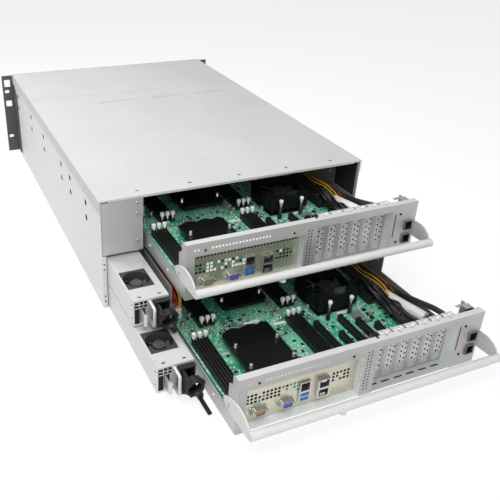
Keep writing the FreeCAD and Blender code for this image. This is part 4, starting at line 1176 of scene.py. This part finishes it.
def board_parts(name, body, finishes, count):
    """Chips, coils, cans, posts, pins, headers and screws of a board.

    The finishes are chip, ceramic, pin, can, coil, plug and brass, in the order of their slots."""
    parts = Surface(sled_origin(name))
    small_parts(parts, count)
    parts.add(blocks((109.0, 125.0, BOARD_TOP), (127.0, 143.0, BOARD_TOP + 2.4), 0.5), 4)
    chips = [(136.0, 142.0), (135.5, 131.0), (135.0, 121.0), (128.0, 240.0), (112.0, 262.0), (60.0, 262.0)]
    square_parts(parts, chips, 6.4, 1.5, 0.2, 0)
    for x, y, width in ((-47.0, 174.5, 24.0), (-8.0, 157.5, 21.0), (93.0, 147.0, 23.0)):
        parts.add(blocks((x, y, BOARD_TOP), (x + width, y + 5.0, BOARD_TOP + 0.5), 0.1), 2)
    coils = [(x, y + 11.0 * i) for x, y in ((-18.0, 62.0), (9.0, 205.0)) for i in range(8)]
    square_parts(parts, coils, 7.6, 5.2, 0.8, 4)
    cans = [(59.6, 177.0), (76.0, 232.0), (-132.0, 202.0), (-115.0, 219.0), (-103.0, 178.0), (4.0, 178.0),
            (12.0, 186.0), (-128.0, 178.0), (140.0, 214.0), (146.0, 226.0), (-78.0, 176.0), (44.0, 150.0)]
    profile = ((3.6, 0.0), (3.6, 1.0), (3.2, 1.5), (3.5, 2.0), (3.5, 8.4), (3.1, 8.9), (2.6, 8.7))
    parts.add(turned(standing(cans), profile, "+z", 18), 3, True)
    posts = [(-92.0, 117.0), (-91.5, 73.5), (-29.5, 116.0), (-29.0, 73.0), (-63.0, 220.0), (-1.0, 220.0),
             (-63.0, 285.0), (-1.0, 285.0)]
    profile = ((3.0, -0.2), (3.0, 1.6), (2.4, 2.2), (2.4, 6.4), (1.9, 7.0), (0.8, 7.0))
    parts.add(turned(standing(posts, BOARD_TOP + 15.0), profile, "+z", 14), 3, True)
    pins = standing([(73.5, 143.6), (110.8, 143.6), (73.5, 224.6), (114.4, 224.6)])
    head = ((1.6, 18.0), (1.6, 23.0), (2.6, 25.0), (3.3, 27.6), (3.3, 30.4), (2.4, 31.2))
    parts.add(turned(pins, head, "+z", 16), 2, True)
    parts.add(turned(pins, ((3.2, 0.0), (3.2, 4.0), (2.6, 5.0), (2.6, 18.5)), "+z", 16), 0, True)
    parts.add(blocks((120.0, 225.0, BOARD_TOP), (131.0, 231.0, BOARD_TOP + 9.0), 0.5), 5)
    header = standing(grid(-60.0, 26.0, 2.54, 9, 2))
    parts.add(blocks(header - (0.3, 0.3, 0.0), header + (0.3, 0.3, 6.0), 0.1), 6)
    fixings = list(itertools.product((-130.0, 10.0), (172.0, 340.0))) + [(158.0, 27.0), (158.0, 340.0)]
    parts.add(turned(standing(fixings), scaled(PAN_HEAD, 0.9), "+z", 14), 3, True)
    parts.piece(name + "_board_parts", body, finishes)


class SERVER_OT_boards(bpy.types.Operator):
    """Finishes the circuit boards and coolers and adds chips, cans, posts, pins and small components"""
    bl_idname = "server.boards"
    bl_label = "Circuit boards"

    def execute(self, context):
        count = context.scene.server_detail.small_parts
        mask = board_finish("Solder mask", context.scene.server_finish.board)
        anodised = plastic("Black anodised", (0.006, 0.006, 0.007), 0.4, 0.2, gloss=0.2)
        finishes = [plastic("Chip black", (0.016, 0.016, 0.017), 0.4, gloss=0.3),
                    plastic("Ceramic pale", (0.62, 0.58, 0.48), 0.4),
                    plastic("Pin white", (0.8, 0.8, 0.78), 0.4),
                    sheet_metal("Can silver", (0.66, 0.67, 0.68), 0.9, 0.24, 0.05, 5.0),
                    plastic("Coil grey", (0.17, 0.18, 0.19), 0.5),
                    plastic("Plug blue", (0.05, 0.32, 0.55), 0.4),
                    sheet_metal("Post brass", (0.58, 0.5, 0.32), 0.9, 0.3, 0.1, 4.0)]
        for name in SLEDS:
            dress({name + "_motherboard": mask, name + "_coolers": anodised,
                   name + "_cooler_fan": fan_black()})
            board_parts(name, name + "_sled", finishes, count)
        return {"FINISHED"}


# Leads: routes in the sled's own frame

SLEEVED_LEADS = (
    ((196.0, 368.0, 12.0), (196.0, 300.0, 12.0), (197.0, 240.0, 13.0), (202.0, 150.0, 20.0),
     (202.0, 100.0, 33.0), (199.75, 60.0, 46.4), (199.75, 27.0, 46.4)),
    ((184.0, 368.0, 12.0), (183.0, 260.0, 12.0), (184.0, 160.0, 12.0), (197.0, 90.0, 19.0),
     (199.75, 52.0, 24.8), (199.75, 27.0, 24.8)),
    ((172.5, 368.0, 13.0), (173.0, 250.0, 14.5), (172.5, 130.0, 12.6), (168.0, 60.0, 14.0)),
)
SLEEVE_R = 4.3
STRAND_R = 2.1
WHITE_WRAP = ((181.0, 152.0, 19.0), (184.0, 128.0, 21.0), (189.0, 104.0, 22.0), (196.0, 80.0, 22.0))
WRAP_R = 8.6
WIRE_COLOURS = {"red": (0.62, 0.03, 0.02), "yellow": (0.75, 0.48, 0.02), "black": (0.01, 0.01, 0.01),
                "orange": (0.7, 0.16, 0.02), "white": (0.7, 0.7, 0.68), "green": (0.02, 0.25, 0.12)}
FAN_WIRES = {
    "red": ((-132.5, 226.0, 26.0), (-135.0, 228.0, 42.0), (-138.0, 244.0, 53.0), (-138.5, 272.0, 54.0),
            (-141.0, 330.0, 48.0)),
    "orange": ((-131.0, 231.0, 26.0), (-134.0, 236.0, 44.0), (-137.0, 256.0, 57.0), (-138.0, 284.0, 58.0),
               (-141.0, 330.0, 52.0)),
    "yellow": ((-129.5, 224.0, 26.0), (-129.0, 221.0, 40.0), (-131.0, 226.0, 58.0), (-138.0, 250.0, 71.0)),
    "black": ((-131.5, 235.0, 26.0), (-130.0, 240.0, 36.0), (-137.0, 268.0, 44.0), (-142.0, 330.0, 40.0)),
}
LOOSE_WIRES = {
    "white": ((123.0, 228.0, 18.0), (122.0, 224.0, 34.0), (134.0, 240.0, 44.0), (160.0, 290.0, 40.0)),
    "green": ((125.5, 228.0, 18.0), (127.0, 222.0, 30.0), (138.0, 246.0, 40.0), (166.0, 300.0, 34.0)),
    "red": ((128.0, 228.0, 18.0), (132.0, 224.0, 32.0), (144.0, 236.0, 46.0), (170.0, 300.0, 42.0)),
    "yellow": ((160.0, 300.0, 24.0), (158.0, 262.0, 34.0), (166.0, 226.0, 39.0), (161.0, 192.0, 38.0),
               (170.0, 162.0, 40.0), (168.0, 132.0, 34.0)),
    "orange": ((196.5, 330.0, 17.5), (197.0, 250.0, 18.5), (197.0, 200.0, 19.5), (196.0, 165.0, 21.0),
               (192.0, 142.0, 18.0)),
    "black": ((176.0, 330.0, 24.0), (180.0, 250.0, 29.0), (182.0, 190.0, 26.0), (190.0, 120.0, 30.0)),
}
WIRE_PAIR = ((0.0, 0.0, 0.0), (3.0, 1.8, 3.2))


def strands(random):
    """Ten loose strands that weave from the power socket to the panel, in five pairs side by side."""
    routes = []
    for i in range(10):
        out = 2.4 * (i // 2)
        up = 5.0 * (i % 2)
        wave = 4.5 * (-1) ** i
        far = 198.0 - 3.8 * i
        routes.append([(155.5, far, 22.0),
                       (157.0 + out, far - 8.0, 32.0 + up),
                       (158.0 + 1.7 * out + wave, 158.0, 29.0 + up),
                       (158.0 + 1.8 * out - wave, 138.0, 24.0 - up),
                       (158.0 + 1.9 * out + wave, 118.0, 25.0 + up),
                       (159.0 + 2.0 * out - wave, 98.0, 20.0 - up),
                       (160.0 + 2.0 * out + wave, 72.0, 20.0 + up),
                       (164.0 + 2.0 * out, 52.0, 15.0 + up)])
    return np.array(routes) + random.uniform(-1.0, 1.0, np.shape(routes)) * (3.0, 4.0, 3.5)


class SERVER_OT_leads(bpy.types.Operator):
    """Makes the sleds' sleeved leads, black strands and thin coloured wires"""
    bl_idname = "server.leads"
    bl_label = "Leads"

    def execute(self, context):
        wire = context.scene.server_detail.wire_radius
        sleeve = sleeve_finish("Sleeve black", (0.02, 0.02, 0.022))
        coats = {key: plastic("Wire " + key, colour, 0.4) for key, colour in WIRE_COLOURS.items()}
        random = np.random.default_rng(5)
        for name in SLEDS:
            body = name + "_sled"
            origin = sled_origin(name)
            routes = [origin + route for route in SLEEVED_LEADS]
            main = lead(name + "_sleeved_leads", body, routes, SLEEVE_R, sleeve)
            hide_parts(name + "_cables")
            routes = origin + strands(random)
            lead(name + "_black_strands", body, routes, STRAND_R, coats["black"])
            lead(name + "_white_wrap", body, [origin + WHITE_WRAP], WRAP_R, coats["white"])
            for bundle, wires, weight in (("wires", FAN_WIRES, 1.3), ("loose", LOOSE_WIRES, 0.7)):
                for key, route in wires.items():
                    pair = [origin + route + shift for shift in WIRE_PAIR]
                    lead("_".join((name, bundle, key)), body, pair, weight * wire, coats[key])
        return {"FINISHED"}


# Front

class SERVER_OT_front(bpy.types.Operator):
    """Finishes the disk carriers, the backplane and the chassis fans and adds the carriers' grilles"""
    bl_idname = "server.front"
    bl_label = "Front"

    def execute(self, context):
        carrier = sheet_metal("Carrier dark", (0.075, 0.077, 0.08), 0.3, 0.42, 0.1, 2.0, 1.0)
        catch = plastic("Catch grey", (0.2, 0.21, 0.22), 0.4)
        dress({"drive_backplane": board_finish("Solder mask", context.scene.server_finish.board)})
        dress({name: fan_black() for name in CHASSIS_FANS})
        for name in CARRIERS:
            dress({name: carrier})
            low, high = corner(name)
            face = Surface((low[0], high[1] - 3.2, low[2]))
            # Grille holes as dark discs of painted shade
            holes = np.insert(grid(5.8, 5.0, 4.4, 6, 5), 1, 0.0, 1)
            face.add(turned(holes, ((1.8, -0.2), (1.8, 0.05)), "+y", 6), 0)
            width = high[0] - low[0]
            face.add(blocks((width - 30.0, -3.2, 8.0), (width - 24.0, 0.9, 18.0), 0.6), 1)
            face.piece(name + "_grille", name, [recess_painted_shade(), catch])
        return {"FINISHED"}


# Stage, in metres

FLOOR_HALF = 6.0
WORLD_STRENGTH = 0.3
AIM = Vector((0.0, -0.2, 0.1))
CAMERA_SHIFT = (0.1055, -0.0518)
LAMPS = (("key_light", (-0.6, 0.3, 1.15), 0.8, 16.0), ("top_light", (-0.6, -0.3, 2.3), 1.4, 6.0),
         ("front_light", (-0.7, -2.3, 0.7), 2.2, 25.0), ("high_light", (-0.3, -1.1, 1.5), 1.0, 19.0),
         ("side_light", (2.2, -1.2, 1.4), 1.6, 6.0))


def studio_floor(context):
    """Pale floor that looks white to the camera, in glossy faces and through clear ones."""
    size = FLOOR_HALF
    mesh = bpy.data.meshes.new("studio_floor")
    corners = [(-size, -size, 0), (size, -size, 0), (size, size, 0), (-size, size, 0)]
    mesh.from_pydata(corners, [], [(0, 1, 2, 3)])
    floor = bpy.data.objects.new("studio_floor", mesh)
    context.collection.objects.link(floor)
    material, tree, shader = new_material("Studio floor", 0.0, 0.9)
    shader.inputs["Base Color"].default_value = (0.86, 0.86, 0.86, 1.0)
    glow = add_node(tree, "ShaderNodeEmission", {"Color": (1.0, 1.0, 1.0, 1.0), "Strength": 1.0})
    rays = add_node(tree, "ShaderNodeLightPath").outputs
    seen = math_node(tree, "MAXIMUM", rays["Is Camera Ray"], rays["Is Glossy Ray"])
    seen = math_node(tree, "MAXIMUM", seen, rays["Is Transmission Ray"])
    weight = math_node(tree, "MULTIPLY", seen, 0.8)
    mix = add_node(tree, "ShaderNodeMixShader", {0: weight, 1: shader.outputs[0], 2: glow.outputs[0]})
    tree.links.new(mix.outputs[0], tree.nodes["Material Output"].inputs["Surface"])
    mesh.materials.append(material)


def studio_world(context):
    """Soft even light from all round, with white behind the object."""
    world = context.scene.world or bpy.data.worlds.new("Studio")
    context.scene.world = world
    world.use_nodes = True
    sky = world.node_tree
    back = sky.nodes["Background"]
    back.inputs["Color"].default_value = (0.97, 0.97, 0.98, 1.0)
    back.inputs["Strength"].default_value = WORLD_STRENGTH
    white = add_node(sky, "ShaderNodeBackground", {"Color": (1.0, 1.0, 1.0, 1.0), "Strength": 1.0})
    seen = add_node(sky, "ShaderNodeLightPath").outputs["Is Camera Ray"]
    mix = add_node(sky, "ShaderNodeMixShader", {0: seen, 1: back.outputs[0], 2: white.outputs[0]})
    sky.links.new(mix.outputs[0], sky.nodes["World Output"].inputs["Surface"])


def studio_lamps(context):
    """Square area lights that look at the middle of the object."""
    for name, place, width, power in LAMPS:
        lamp = bpy.data.lights.new(name, "AREA")
        lamp.size = width
        lamp.energy = power
        obj = bpy.data.objects.new(name, lamp)
        aim = AIM - Vector(place)
        obj.matrix_world = Matrix.Translation(place) @ aim.to_track_quat("-Z", "Y").to_matrix().to_4x4()
        context.collection.objects.link(obj)


def studio_camera(context):
    """Camera at its place: rolled, tilted down and then turned."""
    view = context.scene.server_studio
    camera = bpy.data.cameras.new("camera")
    camera.lens = view.focal_length
    camera.sensor_width = 36.0
    camera.shift_x, camera.shift_y = CAMERA_SHIFT
    obj = bpy.data.objects.new("camera", camera)
    turn = Matrix.Rotation(-view.azimuth, 4, "Z") @ Matrix.Rotation(math.pi / 2 - view.tilt, 4, "X")
    obj.matrix_world = Matrix.Translation(view.place) @ turn @ Matrix.Rotation(view.roll, 4, "Z")
    context.collection.objects.link(obj)
    context.scene.camera = obj


class SERVER_OT_stage(bpy.types.Operator):
    """Adds the floor, the lights and the camera"""
    bl_idname = "server.stage"
    bl_label = "Stage"

    def execute(self, context):
        context.scene.view_settings.view_transform = "Standard"
        studio_floor(context)
        studio_world(context)
        studio_lamps(context)
        studio_camera(context)
        return {"FINISHED"}


class SERVER_PT_panel(bpy.types.Panel):
    """Lists the settings and the operators"""
    bl_idname = "SERVER_PT_panel"
    bl_label = "Storage server"
    bl_space_type = "VIEW_3D"
    bl_region_type = "UI"
    bl_category = "Server"

    def draw(self, context):
        column = self.layout.column()
        for group in SETTINGS:
            settings = getattr(context.scene, group)
            for name in settings.bl_rna.properties.keys():
                if name not in ("rna_type", "name"):
                    column.prop(settings, name)
        for operator in OPERATORS:
            column.operator(operator.bl_idname)


SETTINGS = {"server_finish": ServerFinish, "server_detail": ServerDetail, "server_studio": ServerStudio}
OPERATORS = (SERVER_OT_chassis, SERVER_OT_supplies, SERVER_OT_panels, SERVER_OT_sockets, SERVER_OT_boards,
             SERVER_OT_leads, SERVER_OT_front, SERVER_OT_stage)


def register():
    for name, settings in SETTINGS.items():
        bpy.utils.register_class(settings)
        setattr(bpy.types.Scene, name, bpy.props.PointerProperty(type=settings))
    for operator in OPERATORS:
        bpy.utils.register_class(operator)
    bpy.utils.register_class(SERVER_PT_panel)


def unregister():
    bpy.utils.unregister_class(SERVER_PT_panel)
    for operator in OPERATORS:
        bpy.utils.unregister_class(operator)
    for name, settings in SETTINGS.items():
        delattr(bpy.types.Scene, name)
        bpy.utils.unregister_class(settings)


def main():
    register()
    for operator in OPERATORS:
        getattr(bpy.ops.server, operator.bl_idname.split(".")[1])()
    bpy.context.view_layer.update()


if __name__ == "__main__":
    main()
